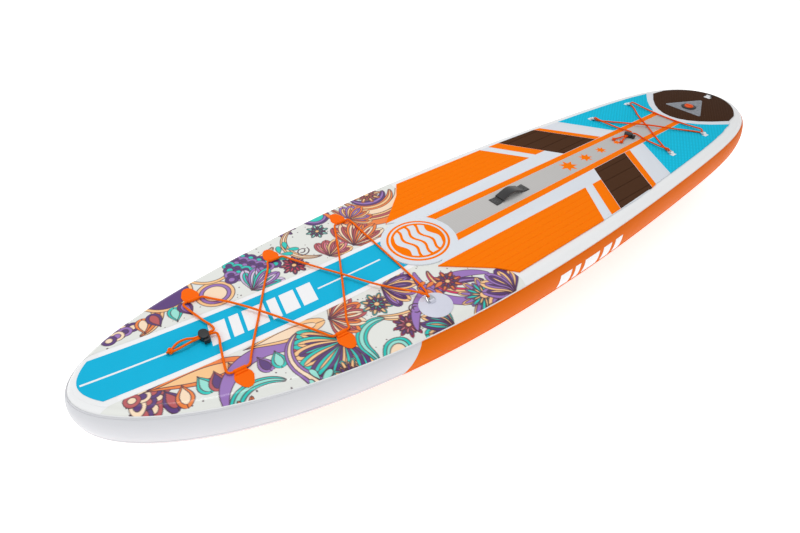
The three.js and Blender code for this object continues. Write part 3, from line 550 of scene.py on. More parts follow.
class Paint:
    """Colour of every point of the sheet; each stamp paints over those before it."""

    def __init__(self, across, along):
        self.x, self.y = across, along
        self.colour = np.array([[linear(part) for part in GROUND]] * len(across))

    def near(self, x, y, reach):
        """The points no further than reach from x, y, and how far each is from it."""
        which = np.flatnonzero((np.abs(self.x - x) < reach) & (np.abs(self.y - y) < reach))
        return which, self.x[which] - x, self.y[which] - y

    def fill(self, which, distance, colour, line=LINE):
        """distance is negative inside the shape, in metres; the outline runs along zero."""
        for reach, tone in ((line / 2, OUTLINE_DARK), (-line / 2, colour)):
            cover = np.clip(0.5 - (distance - reach) / INK_BLUR, 0, 1)[:, None]
            ink = np.array([linear(part) for part in tone])
            self.colour[which] = self.colour[which] * (1 - cover) + ink * cover

    def disc(self, x, y, radius, colours, line=LINE, step=0.2):
        """Discs one inside the other."""
        which, across, along = self.near(x, y, radius + 0.01)
        for k, colour in enumerate(colours):
            self.fill(which, np.hypot(across, along) - radius * (1 - step * k), colour, line)

    def petal(self, x, y, angle, length, width, colours):
        """A drop that starts at x, y and points along angle, with smaller ones inside it."""
        which, across, along = self.near(x, y, length + 0.01)
        ahead = across * math.cos(angle) + along * math.sin(angle)
        aside = np.abs(along * math.cos(angle) - across * math.sin(angle))
        for k, colour in enumerate(colours):
            share = np.clip((ahead / length - 0.1 * k) / (1 - 0.22 * k), 0, 1)
            tip = np.sqrt(np.maximum(0, 1 - ((share - 0.64) / 0.36) ** 2))
            stem = np.sin(np.minimum(share, 0.64) / 0.64 * math.pi / 2) ** 1.3
            reach = width / 2 * (1 - 0.42 * k) * np.where(share < 0.64, stem, tip)
            outside = np.maximum(np.maximum(-ahead, ahead - length), 0)
            self.fill(which, aside - reach + outside, colour)

    def fan(self, x, y, angle, reach, blades, spread, colours):
        """Drops spread out from one place, the outer ones first."""
        turns = sorted(np.linspace(-spread / 2, spread / 2, blades), key=abs, reverse=True)
        width = 1.9 * reach * spread / blades * 0.6
        for k, turn in enumerate(turns):
            first = k % len(colours)
            tones = colours[first:] + colours[:first]
            self.petal(x, y, angle + turn, reach * (1 - 0.1 * abs(turn)), width, tones)

    def blossom(self, x, y, radius, petals, colours, turn=0.0):
        """Rings of petals, the outer ones first, round a dotted heart."""
        for ring, colour in enumerate(colours):
            reach = radius * (1 - 0.24 * ring)
            inner = colours[(ring + 1) % len(colours)]
            for k in range(petals):
                angle = turn + math.pi * (2 * k + ring) / petals
                self.petal(x, y, angle, reach, 2.5 * reach / petals, (colour, inner))
        self.disc(x, y, radius * 0.17, (PEACH,))

    def scales(self, x, y, angle, rows, size, colours):
        """Round scales in rows that grow wider away from x, y and lie over the row behind."""
        for row in range(rows, -1, -1):
            for k in range(row + 1):
                aside, ahead = (k - row / 2) * size * 1.5, row * size * 0.95
                place_x = x + ahead * math.cos(angle) - aside * math.sin(angle)
                place_y = y + ahead * math.sin(angle) + aside * math.cos(angle)
                tones = (colours[row % len(colours)], colours[(row + 1) % len(colours)])
                self.disc(place_x, place_y, size, tones, LINE * 0.8, 0.5)

    def ribbon(self, x, y, radius, start, end, wide, colours):
        """A stretch of a round ribbon that narrows towards both ends, with a stripe inside it."""
        which, across, along = self.near(x, y, radius + wide)
        share = np.mod(np.arctan2(along, across) - start, 2 * math.pi) / (end - start)
        half = wide / 2 * np.sqrt(np.clip(4 * share * (1 - share), 0, 1))
        gap = np.abs(np.hypot(across, along) - radius)
        for k, colour in enumerate(colours):
            self.fill(which, np.where(share <= 1, gap - half * (1 - 0.6 * k), 1.0), colour)

    def curl(self, x, y, radius, turn):
        """A thin pen curl that winds in."""
        for k in range(3):
            angle = turn + k * math.pi
            middle = x + 0.3 * radius * math.cos(angle)
            self.ribbon(middle, y, radius * (1 - 0.3 * k), angle, angle + math.pi, 0.002, (OUTLINE_DARK,))


def painted_side(side):
    """The sheet of one side: a fine grid between the white band and the rail, with its colours."""
    edge = np.array([inset_point(side * 2 * k / NOSE_STEPS, PRINT_INSET) for k in range(1, NOSE_STEPS // 8)])
    front_y = float(np.interp(NOSE_BAND, np.abs(edge[:, 0]), edge[:, 1]))
    clear_selection()
    bpy.ops.mesh.primitive_grid_add(x_subdivisions=PRINT_COLUMNS, y_subdivisions=PRINT_ROWS)
    sheet = bpy.context.object
    row, column = np.divmod(np.arange(len(sheet.data.vertices)), PRINT_COLUMNS + 1)
    y = front_y + (PRINT_REAR_Y - front_y) * row / PRINT_ROWS
    outer = np.interp(y, edge[:, 1], np.abs(edge[:, 0]))
    x = NOSE_BAND + (outer - NOSE_BAND) * column / PRINT_COLUMNS
    z = deck_height(side * x, y) + PRINT_LIFT
    sheet.data.vertices.foreach_set("co", np.stack([side * x, y, z], axis=1).ravel())
    sheet.data.update()
    return sheet, Paint(x, y)


def scatter_dots(paint, seed):
    """Small dark dots all over the ground."""
    random = np.random.default_rng(seed)
    for _ in range(DOTS):
        x = random.uniform(0.1, 0.4)
        y = random.uniform(-1.5, PRINT_REAR_Y)
        paint.disc(x, y, random.uniform(0.0012, 0.0026), (OUTLINE_DARK,), 0)


def leaves(paint, x, y, angle, count, size, colour):
    """Pairs of leaves along a stem."""
    for k in range(count):
        place = (x + k * size * 0.7 * math.cos(angle), y + k * size * 0.7 * math.sin(angle))
        for side in (-1, 1):
            paint.petal(*place, angle + side * 0.9, size, size * 0.42, (colour,))


def print_material(name):
    """Ink in the colours that the sheet stores, with the fabric's slight waves under it."""
    made = Finish(name, GROUND, 0.4, Coat_Weight=0.2)
    colour = made.node("Attribute", attribute_name="print").outputs["Color"]
    grain = made.node("MapRange", {"Value": made.noise(900), "To Min": 0.96, "To Max": 1.04})
    mix = made.node("VectorMath", {0: colour, "Scale": grain.outputs["Result"]}, operation="SCALE")
    made.links.new(mix.outputs["Vector"], made.shader.inputs["Base Color"])
    return made.relief(made.noise(7, 2), 0.0012, 0.25)


def finish_print(sheet, paint, name, side):
    """Stores the colours on the sheet, turns it face up and puts it on the deck."""
    layer = sheet.data.color_attributes.new("print", "FLOAT_COLOR", "POINT")
    tones = np.concatenate([paint.colour, np.ones((len(paint.colour), 1))], axis=1)
    layer.data.foreach_set("color", tones.astype(np.float32).ravel())
    if side < 0:
        flip(sheet)
    dress(sheet, name, "board", print_material(name + "_ink"))


def drops(paint, x, y, step, size, tones):
    """A row of drops along the white band, pointing at the rail."""
    for k, pair in enumerate(tones):
        paint.petal(x + 0.006 * (k % 2), y + k * step, 0.15 * (-1) ** k, size, size * 0.62, pair)


port_sheet, port = painted_side(1)
scatter_dots(port, 11)
port.scales(0.115, -1.46, 0.9, 3, 0.021, (ROSE, CREAM, PLUM))
port.petal(0.104, -1.43, 1.42, 0.27, 0.075, (ORANGE, PEACH))
port_tones = ((PLUM, ROSE), (ORANGE, CREAM), (TEAL, MINT), (ROSE, PLUM), (ORANGE, CREAM))
drops(port, 0.125, -1.385, 0.043, 0.075, port_tones)
port.ribbon(0.29, -1.13, 0.15, 1.9, 4.5, 0.046, (LILAC,))
port.ribbon(0.34, -1.19, 0.105, 2.3, 4.6, 0.03, (TEAL, MINT))
port.ribbon(0.12, -0.66, 0.15, 5.4, 7.4, 0.036, (PEACH, CREAM))
port.petal(0.106, -1.16, 1.46, 0.25, 0.066, (PEACH, CREAM))
drops(port, 0.15, -1.14, 0.05, 0.07, ((LILAC, PLUM), (TEAL, MINT), (PEACH, ROSE), (LILAC, CREAM)))
port.fan(0.235, -0.905, 5.15, 0.17, 9, 2.4, [TEAL, PEACH, PLUM])
port.ribbon(0.235, -0.955, 0.115, 3.6, 6.6, 0.03, (LILAC, CREAM))
port.blossom(0.30, -1.235, 0.05, 8, (ORANGE, ROSE, PLUM), 0.2)
port.blossom(0.345, -0.955, 0.05, 8, (TEAL, PEACH, PLUM), 0.1)
port.ribbon(0.30, -0.80, 0.075, 2.6, 5.4, 0.034, (TEAL, MINT))
port.fan(0.135, -0.90, 1.2, 0.12, 7, 2.2, [ROSE, CREAM, ORANGE])
port.blossom(0.17, -0.745, 0.052, 8, (TEAL, PEACH, PLUM), 0.8)
port.disc(0.365, -0.80, 0.05, (TEAL, MINT, CREAM))
port.blossom(0.30, -0.72, 0.05, 9, (MAGENTA, PLUM, PINK), 0.3)
port.fan(0.115, -0.69, 0.9, 0.12, 6, 1.8, [PLUM, LILAC, PEACH])
port.ribbon(0.42, -0.52, 0.21, 2.3, 4.3, 0.04, (LILAC,))
port.ribbon(0.40, -0.52, 0.16, 2.3, 4.3, 0.034, (PLUM, LILAC))
port.ribbon(0.20, -0.42, 0.16, 4.2, 6.6, 0.036, (LILAC,))
port.ribbon(0.20, -0.42, 0.115, 4.2, 6.6, 0.03, (MAGENTA, PEACH))
port.blossom(0.345, -0.45, 0.085, 10, (PEACH, LILAC, TEAL), 0.2)
port.blossom(0.225, -0.50, 0.05, 8, (MAGENTA, ORANGE, PLUM), 0.6)
port.fan(0.38, -0.60, 4.0, 0.11, 6, 1.6, [TEAL, PEACH, PLUM])
port.fan(0.39, -0.35, 3.6, 0.12, 6, 2.0, [PLUM, PEACH, LILAC])
leaves(port, 0.36, -1.06, 2.6, 3, 0.04, MINT)
leaves(port, 0.19, -0.60, 0.9, 3, 0.04, ORANGE)
port.curl(0.33, -1.10, 0.022, 0.4)
port.curl(0.26, -0.66, 0.02, 2.0)
finish_print(port_sheet, port, "nose_print_port", 1)

starboard_sheet, starboard = painted_side(-1)
scatter_dots(starboard, 12)
starboard.scales(0.13, -1.45, 0.6, 3, 0.02, (PLUM, CREAM, LILAC))
starboard.ribbon(0.20, -1.40, 0.10, 0.2, 2.9, 0.036, (PEACH, ORANGE))
starboard.ribbon(0.40, -0.98, 0.16, 2.4, 4.6, 0.04, (PEACH, CREAM))
starboard.disc(0.25, -1.26, 0.085, (PEACH, PLUM), LINE, 0.14)
starboard.disc(0.165, -1.13, 0.06, (PEACH, LILAC, CREAM))
drops(starboard, 0.105, -1.36, 0.046, 0.07, ((ORANGE, CREAM), (PLUM, ROSE), (TEAL, MINT), (PLUM, LILAC)))
starboard.disc(0.30, -1.10, 0.085, (PEACH, GROUND), LINE, 0.14)
starboard.scales(0.20, -1.06, 0.95, 6, 0.021, (PLUM, LILAC, PLUM, TEAL))
starboard.fan(0.115, -1.03, 1.1, 0.12, 6, 1.8, [PALE_LILAC, TEAL, LILAC])
starboard.blossom(0.15, -0.86, 0.05, 8, (PLUM, ROSE, MAGENTA), 0.4)
starboard.blossom(0.36, -0.80, 0.055, 9, (PLUM, LILAC, PEACH), 0.0)
starboard.ribbon(0.24, -0.74, 0.10, 3.3, 6.0, 0.024, (PEACH, CREAM))
starboard.fan(0.12, -0.74, 1.0, 0.10, 6, 2.0, [ROSE, PINK, PEACH])
starboard.disc(0.355, -0.66, 0.055, (PLUM, LILAC, TEAL))
starboard.blossom(0.27, -0.70, 0.042, 8, (TEAL, MINT, PLUM), 0.2)
arch_tones = ((0.20, (ORANGE,)), (0.165, (PEACH, ROSE)), (0.13, (CREAM,)), (0.10, (ORANGE, PEACH)))
for radius, tones in (*arch_tones, (0.07, (PLUM, LILAC))):
    starboard.ribbon(0.37, -0.42, radius, 1.9, 4.7, 0.034, tones)
starboard.fan(0.12, -0.64, 1.0, 0.15, 8, 2.1, [ROSE, ORANGE, CREAM])
starboard.blossom(0.36, -0.42, 0.06, 9, (ORANGE, PEACH, ROSE), 0.5)
starboard.fan(0.26, -0.57, 1.3, 0.10, 6, 2.0, [LILAC, PEACH, ORANGE])
leaves(starboard, 0.22, -0.90, 1.2, 3, 0.045, TEAL)
starboard.curl(0.20, -0.80, 0.024, 1.2)
finish_print(starboard_sheet, starboard, "nose_print_starboard", -1)

# Foam pads: closed-cell EVA cut to shape and stuck on the deck. The orange blocks and the brown pads have
# narrow grooves pressed along the board; the cyan pads and the tail pad are embossed with diamonds.
ORANGE_GROOVES, BROWN_GROOVES = (0.0275, 0.0014, 0.0006), (0.0625, 0.003, 0.002)
GROOVE_MARGIN = 0.003


def foam(name, colour, speckle=0.05):
    """Cut EVA: matt, speckled and finely pebbled."""
    made = Finish(name, colour, 0.9, Specular_IOR_Level=0.06)
    made.mottle(420, speckle).worn(60, 0.8, 0.95)
    return made.relief(made.noise(650, 2), 0.00035, 0.7).relief(made.noise(40, 2), 0.0004, 0.4)


def embossed(made, pitch, depth):
    """Small diamonds pressed into the foam by a heated plate, as a bump; the same pattern darkens the colour
    in the pressed lines and lightens it on the diamonds as painted shade.
    """
    slanted = [
        made.node("Mapping", {"Vector": made.place, "Rotation": (0, 0, math.radians(turn))}).outputs["Vector"]
        for turn in (33, -33)
    ]
    ridges = [made.wave(pitch, "X", source) for source in slanted]
    diamonds = made.node("Math", {0: ridges[0], 1: ridges[1]}, operation="MINIMUM")
    # Painted shade: the colour is scaled down by up to 14 % in the pressed lines and up on the raised
    # diamonds.
    return made.shaded(diamonds.outputs[0], 0.14).relief(diamonds.outputs[0], depth, 0.9)


def copy_of(node):
    """A copy of a CAD node as one clean shell with flat sides."""
    clear_selection()
    piece = bpy.data.objects.new(node + "_copy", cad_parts[node].data.copy())
    bpy.context.scene.collection.objects.link(piece)
    pick(piece)
    if piece.data.has_custom_normals:
        bpy.ops.mesh.customdata_custom_splitnormals_clear()
    with editing(piece, "SELECT"):
        bpy.ops.mesh.remove_doubles(threshold=2e-5)
        bpy.ops.mesh.dissolve_limited(angle_limit=math.radians(0.6))
    return piece


def press_grooves(pad, pitch, wide, depth):
    """Presses straight grooves along the board into the pad's top, that far apart and clear of its edge. Until
    the pad is dressed, its second material marks the part of the top that may be grooved."""
    pad.data.materials.clear()
    pad.data.materials.append(None)
    pad.data.materials.append(None)
    select_only(pad, "FACE", lambda face: face.normal.z > 0.9)
    with editing(pad):
        bpy.ops.mesh.inset(thickness=GROOVE_MARGIN)
    for face in pad.data.polygons:
        face.material_index = int(face.select)
    low = min(point.co.x for point in pad.data.vertices)
    high = max(point.co.x for point in pad.data.vertices)
    count = max(1, round((high - low) / pitch))
    middles = [low + (high - low) * (k + 0.5) / count for k in range(count)]

    def on_top(face):
        return face.material_index == 1

    def in_groove(face):
        return on_top(face) and any(abs(face.center.x - middle) < wide / 2 for middle in middles)

    for middle in middles:
        for edge in (middle - wide / 2, middle + wide / 2):
            select_only(pad, "FACE", on_top)
            with editing(pad):
                bpy.ops.mesh.bisect(plane_co=(edge, 0, 0), plane_no=(1, 0, 0))
    select_only(pad, "FACE", in_groove)
    with editing(pad):
        bpy.ops.mesh.extrude_region_move(TRANSFORM_OT_translate={"value": (0, 0, -depth)})


cutters = []


def cut_pad(node, finish, grooves=None):
    """A pad from its CAD node; a plain copy is kept to cut its place out of the white inlay."""
    cutters.append(copy_of(node))
    pad = copy_of(node)
    if grooves:
        press_grooves(pad, *grooves)
    ease(pad, 0.0005, 2, 40)
    smooth(pad)
    dress(pad, node.replace("pad_", "foam_"), "board", finish, [node])


foam_orange = foam("foam_orange", (255, 122, 2))
foam_brown = foam("foam_brown", (76, 49, 32), 0.12)
foam_cyan = embossed(foam("foam_cyan", (26, 196, 230), 0.04), 0.013, 0.0014)
foam_grey = foam("foam_grey", (192, 190, 188), 0.03)
foam_grey.shaded(foam_grey.wave(0.011, "Y"), 0.02)
foam_tail = embossed(foam("foam_tail_brown", (70, 46, 32), 0.1), 0.012, 0.0014)
for side in ("port", "starboard"):
    cut_pad("pad_block_orange_" + side, foam_orange, ORANGE_GROOVES)
    cut_pad("pad_bar_orange_" + side, foam_orange)
    cut_pad("pad_line_orange_" + side, foam_orange)
    cut_pad("pad_strip_orange_" + side, foam_orange)
    cut_pad("pad_brown_" + side, foam_brown, BROWN_GROOVES)
    cut_pad("pad_cyan_" + side, foam_cyan)
cut_pad("pad_centre_grey", foam_grey)
cut_pad("pad_tail_brown", foam_tail)

# White foam inlay: one sheet of the same EVA that fills the bands between the coloured pads and rings the
# disc. Its top is a little lower than the pads' tops, and their places are cut out of it.
PAD_FLOOR, PAD_TOP = 0.15035, 0.15535
INLAY_EDGE_INSET, INLAY_DROP = 0.0645, 0.0006
GLUE_DEPTH = 0.0001
TAIL_CURVE_Y, TAIL_CURVE = 1.146, 4.1
DISC_RADIUS = 0.135


def tail_curve(x):
    """Where the tail pad's front edge crosses that distance from the middle."""
    return TAIL_CURVE_Y + TAIL_CURVE * x * x


def foam_sheet(name, outline, floor_z, top_z, finish, holes=None):
    """A flat piece of that outline with its edges eased; holes is a piece that is cut out of it."""
    sheet = filled_outline(outline)
    with editing(sheet, "SELECT"):
        bpy.ops.mesh.extrude_region_move(TRANSFORM_OT_translate={"value": (0, 0, top_z - floor_z)})
        bpy.ops.mesh.select_all(action="SELECT")
        bpy.ops.transform.translate(value=(0, 0, floor_z))
        bpy.ops.mesh.normals_make_consistent(inside=False)
    if holes:
        apply_modifier(sheet, "BOOLEAN", operation="DIFFERENCE", solver="EXACT", object=holes)
        bpy.data.objects.remove(holes)
    ease(sheet, min(0.0004, (top_z - floor_z) / 4), 2, 50)
    smooth(sheet)
    return dress(sheet, name, "board", finish)


foam_white = foam("foam_white", (222, 227, 234), 0.02)
arc = [math.radians(degrees) for degrees in range(-90, 1, 9)]
disc_run = [(DISC_RADIUS * math.cos(a), DISC_Y + DISC_RADIUS * math.sin(a)) for a in arc]
outer_run = [(0.149, -0.474), (0.274, -0.331), (0.340, -0.283), (0.333, 0.178), (0.328, 0.4), (0.316, 0.512)]
edge_run = [(half_width(y) - INLAY_EDGE_INSET, y) for y in np.linspace(0.56, 1.305, 14)]
tail_run = [(x, tail_curve(x)) for x in (0.205, 0.16, 0.12, 0.08, 0.04, 0)]
port_run = disc_run + outer_run + edge_run + tail_run
inlay = port_run + [(-x, y) for x, y in port_run[::-1][1:-1]]
holes = join_pieces(cutters)
inlay_floor, inlay_top = PAD_FLOOR - GLUE_DEPTH, PAD_TOP - INLAY_DROP
foam_sheet("foam_white_inlay", inlay, inlay_floor, inlay_top, foam_white, holes)

# Disc: rings of orange and white foam let into the white inlay one inside the other, with four plain white
# water lines across the orange middle as a mark.
LET_IN_FLOOR = PAD_FLOOR + 0.001
CIRCLE_STEPS = 96
WAVE_THICKNESS, WAVE_HEIGHT, WAVE_TURN = 0.026, 0.0085, 62
WAVE_REACH, THINNEST_TIP = 0.089, 0.0008


def circle(radius, y):
    turns = [2 * math.pi * k / CIRCLE_STEPS for k in range(CIRCLE_STEPS)]
    return [(radius * math.cos(turn), y + radius * math.sin(turn)) for turn in turns]


disc_layers = (
    ("disc_ring_orange", 0.1145, PAD_TOP - 0.0004, foam_orange, "orange_foam"),
    ("disc_ring_white", 0.1055, PAD_TOP - 0.0002, foam_white, "white_pvc"),
    ("disc_middle_orange", 0.0985, PAD_TOP, foam_orange, "orange_foam"),
)
for name, radius, top, finish, slot in disc_layers:
    foam_sheet(name, circle(radius, DISC_Y), LET_IN_FLOOR, top, finish)


def water_line(middle):
    """A white wave that runs across the disc and ends on a circle."""
    upper, lower = [], []
    for x in np.linspace(-WAVE_REACH, WAVE_REACH, 60):
        chord = math.sqrt(max(0, WAVE_REACH**2 - x * x))
        y = middle + WAVE_HEIGHT * math.sin(x * WAVE_TURN)
        high, low = min(y + WAVE_THICKNESS / 2, chord), max(y - WAVE_THICKNESS / 2, -chord)
        if high - low > THINNEST_TIP:
            upper.append((x, DISC_Y + high))
            lower.append((x, DISC_Y + low))
    return upper[::-1] + lower


for k, middle in enumerate((-0.055, -0.0183, 0.0183, 0.055)):
    wave = water_line(middle)
    foam_sheet(f"disc_wave_{k + 1}", wave, LET_IN_FLOOR, PAD_TOP + 0.0001, foam_white)

# Stars: four seven-pointed stars of orange foam let into the grey centre pad, one behind the other and
# smaller towards the tail.
STAR_POINTS, STAR_WAIST = 7, 0.5


def star(radius, y):
    outline = []
    for k in range(2 * STAR_POINTS):
        reach = radius * (STAR_WAIST if k % 2 else 1)
        turn = math.pi * k / STAR_POINTS
        outline.append((reach * math.sin(turn), y - reach * math.cos(turn)))
    return outline


for k, (y, radius) in enumerate(((0.38, 0.042), (0.494, 0.033), (0.601, 0.027), (0.716, 0.02))):
    foam_sheet(f"star_{k + 1}", star(radius, y), LET_IN_FLOOR, PAD_TOP + 0.0002, foam_orange)

# Bungee cords: elastic strands in a braided orange sleeve. The front one is laced through six holders and
# tied in one knot in front of its lock; the rear one runs through four rings and ends in two knots.
MM = 0.001
CORD_RADIUS = 3.5 * MM
KNOT_POINTS = 18


def braid(name, colour):
    """A woven sleeve: two slanted sets of strands over each other."""
    made = Finish(name, colour, 0.66, Specular_IOR_Level=0.12)
    made.mottle(300, 0.1)
    turned = [
        made.node("Mapping", {"Vector": made.place, "Rotation": (0.5, 0.4, turn)}).outputs["Vector"]
        for turn in (0.7, -0.7)
    ]
    strands = [made.wave(0.0016, "X", source) for source in turned]
    both = made.node("Math", {0: strands[0], 1: strands[1]}, operation="MAXIMUM")
    return made.relief(both.outputs[0], 0.0003, 0.8)


def strand(places, radius, steps, closed):
    """A round strand on one smooth curve through those places, with that many steps between them."""
    curve = bpy.data.curves.new("strand", "CURVE")
    curve.dimensions = "3D"
    curve.bevel_depth = radius
    curve.bevel_resolution = 3
    curve.resolution_u = steps
    curve.use_fill_caps = not closed
    line = curve.splines.new("BEZIER")
    line.bezier_points.add(len(places) - 1)
    for point, place in zip(line.bezier_points, places):
        point.co = place
        point.handle_left_type = point.handle_right_type = "AUTO"
    line.use_cyclic_u = closed
    piece = bpy.data.objects.new("strand", curve)
    bpy.context.scene.collection.objects.link(piece)
    pick(piece)
    bpy.ops.object.convert(target="MESH")
    return bpy.context.object


def over_deck(x, y, over):
    """A place in metres, from x, y and the height over the deck in mm."""
    return Vector((x * MM, y * MM, THICKNESS + float(rocker(y * MM)) + over * MM))


def tied_knot(place, size):
    """A small overhand knot: a trefoil of the same cord, pulled tight."""
    places = []
    for k in range(KNOT_POINTS):
        turn = 2 * math.pi * k / KNOT_POINTS
        across = math.sin(turn) + 2 * math.sin(2 * turn)
        along = math.cos(turn) - 2 * math.cos(2 * turn)
        places.append(place + size * Vector((across / 3, along / 3, -math.sin(3 * turn) / 2)))
    return strand(places, CORD_RADIUS * 0.9, 3, True)


def bungee(label, route, knots, knot_size, finish):
    """A laced cord and the knots at its ends, as one piece."""
    cord = strand([over_deck(*point) for point in route], CORD_RADIUS, 5, False)
    cord = join_pieces([cord, *(tied_knot(over_deck(*knot), knot_size) for knot in knots)])
    smooth(cord, 60)
    dress(cord, label + "_bungee", "board", finish, [label + "_bungee_cord"])


# Each point is x, y and the height of the cord's centre over the deck, in mm.
FRONT_ROUTE = [
    (10, -1322, 7), (12, -1300, 12), (9, -1275, 14), (4.2, -1256, 11.5), (4.2, -1229, 11.5),
    (4.2, -1208, 11.5), (8, -1197, 10.5), (18, -1195, 10), (60, -1206, 8.5), (120, -1222, 7.5),
    (150, -1229, 6.8), (160, -1230, 6.5), (166, -1227, 6.5), (169, -1220, 6.5), (169, -1208, 6.5),
    (169, -1188, 6.5), (169, -1176, 6.5), (167, -1169, 6.5), (161, -1163, 6.5), (150, -1157, 6.5),
    (100, -1126, 6), (0, -1060, 5), (-120, -982, 6), (-190, -936, 6.5), (-203, -931, 6.5),
    (-209, -927, 6.5), (-211, -921, 6.5), (-211, -908, 6.5), (-211, -894, 6.5), (-211, -880, 6.5),
    (-209, -873, 6.5), (-203, -868, 6.5), (-190, -862, 7), (-100, -816, 10), (0, -762, 14.5),
    (120, -694, 15.5), (222, -620, 18), (236, -612, 19.2), (243, -608, 19.1), (248.5, -606, 18.1),
    (252, -603.5, 15.2), (252, -601.5, 10.4), (248.8, -600, 7), (243, -598, 6.6), (232, -594, 6.7),
    (218, -589, 6.5), (100, -580, 6), (0, -577, 6), (-150, -574, 6.5), (-242, -571, 6.5), (-252, -572, 6.5),
    (-257, -575, 6.5), (-259, -581, 6.5), (-259, -594, 6.5), (-259, -610, 6.5), (-259, -624, 6.5),
    (-257, -631, 6.5), (-251, -636, 6.5), (-240, -642, 6.5), (-120, -702, 6), (0, -765, 5), (110, -824, 6),
    (190, -866, 6.5), (203, -869, 6.5), (209, -874, 6.5), (211, -881, 6.5), (211, -894, 6.5),
    (211, -908, 6.5), (211, -922, 6.5), (209, -929, 6.5), (203, -935, 6.5), (190, -942, 7), (110, -988, 11),
    (0, -1054, 14.5), (-90, -1110, 11), (-150, -1155, 7), (-161, -1163, 6.5), (-167, -1169, 6.5),
    (-169, -1176, 6.5), (-169, -1188, 6.5), (-169, -1208, 6.5), (-169, -1220, 6.5), (-166, -1227, 6.5),
    (-160, -1230, 6.5), (-150, -1229, 6.8), (-120, -1222, 7.5), (-60, -1206, 8.5), (-18, -1195, 10),
    (-8, -1197, 10.5), (-4.2, -1208, 11.5), (-4.2, -1229, 11.5), (-4.2, -1256, 11.5), (-10, -1275, 14),
    (-10, -1300, 12), (1, -1322, 7),
]
REAR_ROUTE = [
    (16, 728, 12), (10, 752, 14), (4.2, 775, 15), (4.2, 803, 15), (4.2, 824, 15), (8, 836, 14.5),
    (18, 839, 14), (60, 830, 13), (120, 819, 16), (172, 811, 21.5), (184, 811, 23), (190, 812, 23.2),
    (195.5, 813, 22.6), (199.3, 814, 19.2), (199.3, 816, 14.4), (195.5, 818, 10.9), (190, 820, 10.2),
    (176, 828, 10), (100, 880, 10), (0, 955, 9.4), (-100, 1024, 10), (-166, 1082, 9.8), (-182, 1091, 9.8),
    (-188, 1093, 10.6), (-192, 1094.5, 14.4), (-192, 1096, 19.2), (-188, 1098, 22.8), (-182, 1100, 23.2),
    (-174, 1101, 23), (-170, 1104, 21), (-90, 1107, 13), (0, 1108, 10), (90, 1107, 13), (170, 1104, 21),
    (174, 1101, 23), (182, 1100, 23.2), (188, 1098, 22.8), (192, 1096, 19.2), (192, 1094.5, 14.4),
    (188, 1093, 10.6), (182, 1091, 9.8), (166, 1082, 9.8), (100, 1026, 14), (0, 951, 18.6), (-100, 878, 14),
    (-176, 828, 10), (-190, 820, 10.2), (-195.5, 818, 10.9), (-199.3, 816, 14.4), (-199.3, 814, 19.2),
    (-195.5, 813, 22.6), (-190, 812, 23.2), (-184, 811, 23), (-172, 811, 21.5), (-120, 819, 16),
    (-60, 830, 13), (-18, 839, 14), (-8, 836, 14.5), (-4.2, 824, 15), (-4.2, 803, 15), (-4.2, 775, 15),
    (-11, 752, 13), (-20, 724, 11),
]
bungee("front", FRONT_ROUTE, [(5.5, -1327, 8.5)], 0.0075, braid("cord_orange_front", (255, 108, 0)))
rear_knots = [(16.5, 725, 12), (-21, 721, 11)]
bungee("rear", REAR_ROUTE, rear_knots, 0.006, braid("cord_orange_rear", (238, 84, 4)))

# Bungee anchors: orange coated fabric folded into a sleeve round the cord and glued down as a rounded tab,
# two on each side of the cyan band and a third one on the starboard side.
anchor_orange = pvc("anchor_orange_pvc", (252, 106, 0), 0.55, 0.08, 0.0)
anchor_places = ("front_port", "front_starboard", "middle_port", "middle_starboard", "rear_starboard")


def eased_copy(node, name, finish, width=0.0006, body="board", levels=0):
    """A CAD piece with its hard edges rounded, or subdivided smooth, as it leaves its mould or its shears."""
    piece = copy_of(node)
    if levels:
        apply_modifier(piece, "SUBSURF", levels=levels, render_levels=levels)
    else:
        ease(piece, width, 3, 32)
    smooth(piece, 40)
    return dress(piece, name, body, finish, [node])


for place in anchor_places:
    eased_copy("front_anchor_" + place, "bungee_anchor_" + place, anchor_orange, 0.0009)

# Round anchor: a clear lilac-white patch with a raised tab that holds a steel ring, glued down on the port
# side where a third tab would be.
clear_patch = Finish("clear_patch_pvc", (223, 225, 240), 0.3, Coat_Weight=0.5, Transmission_Weight=0.12)
clear_patch.mottle(60, 0.03).relief(clear_patch.noise(90, 2), 0.0004, 0.4)
eased_copy("front_round_patch", "round_anchor", clear_patch, 0.0008)

# Rings: bent and welded steel rod, polished for the cords and dark for the leash. Each one behind the handle
# is held by a loop on its own glued patch of white fabric.
steel = Finish("polished_steel", (196, 200, 205), 0.22, Metallic=1.0)
steel.mottle(250, 0.05).worn(180, 0.16, 0.34).relief(steel.noise(500, 2), 0.00004, 0.4)
dark_steel = Finish("dark_ring_steel", (52, 54, 58), 0.35, Metallic=1.0).mottle(250, 0.1).worn(120, 0.28, 0.5)
patch_white = pvc("ring_patch_white_pvc", (240, 241, 243), 0.4)
eased_copy("front_ring", "front_steel_ring", steel, levels=2)
for place in ("front_port", "front_starboard", "rear_port", "rear_starboard"):
    eased_copy("rear_ring_" + place, "steel_ring_" + place, steel, levels=2)
    eased_copy("rear_patch_" + place, "ring_patch_" + place, patch_white, 0.0006)
eased_copy("leash_ring", "leash_steel_ring", dark_steel, body="leash_ring", levels=2)
eased_copy("leash_patch", "leash_ring_patch", patch_white, 0.0008)

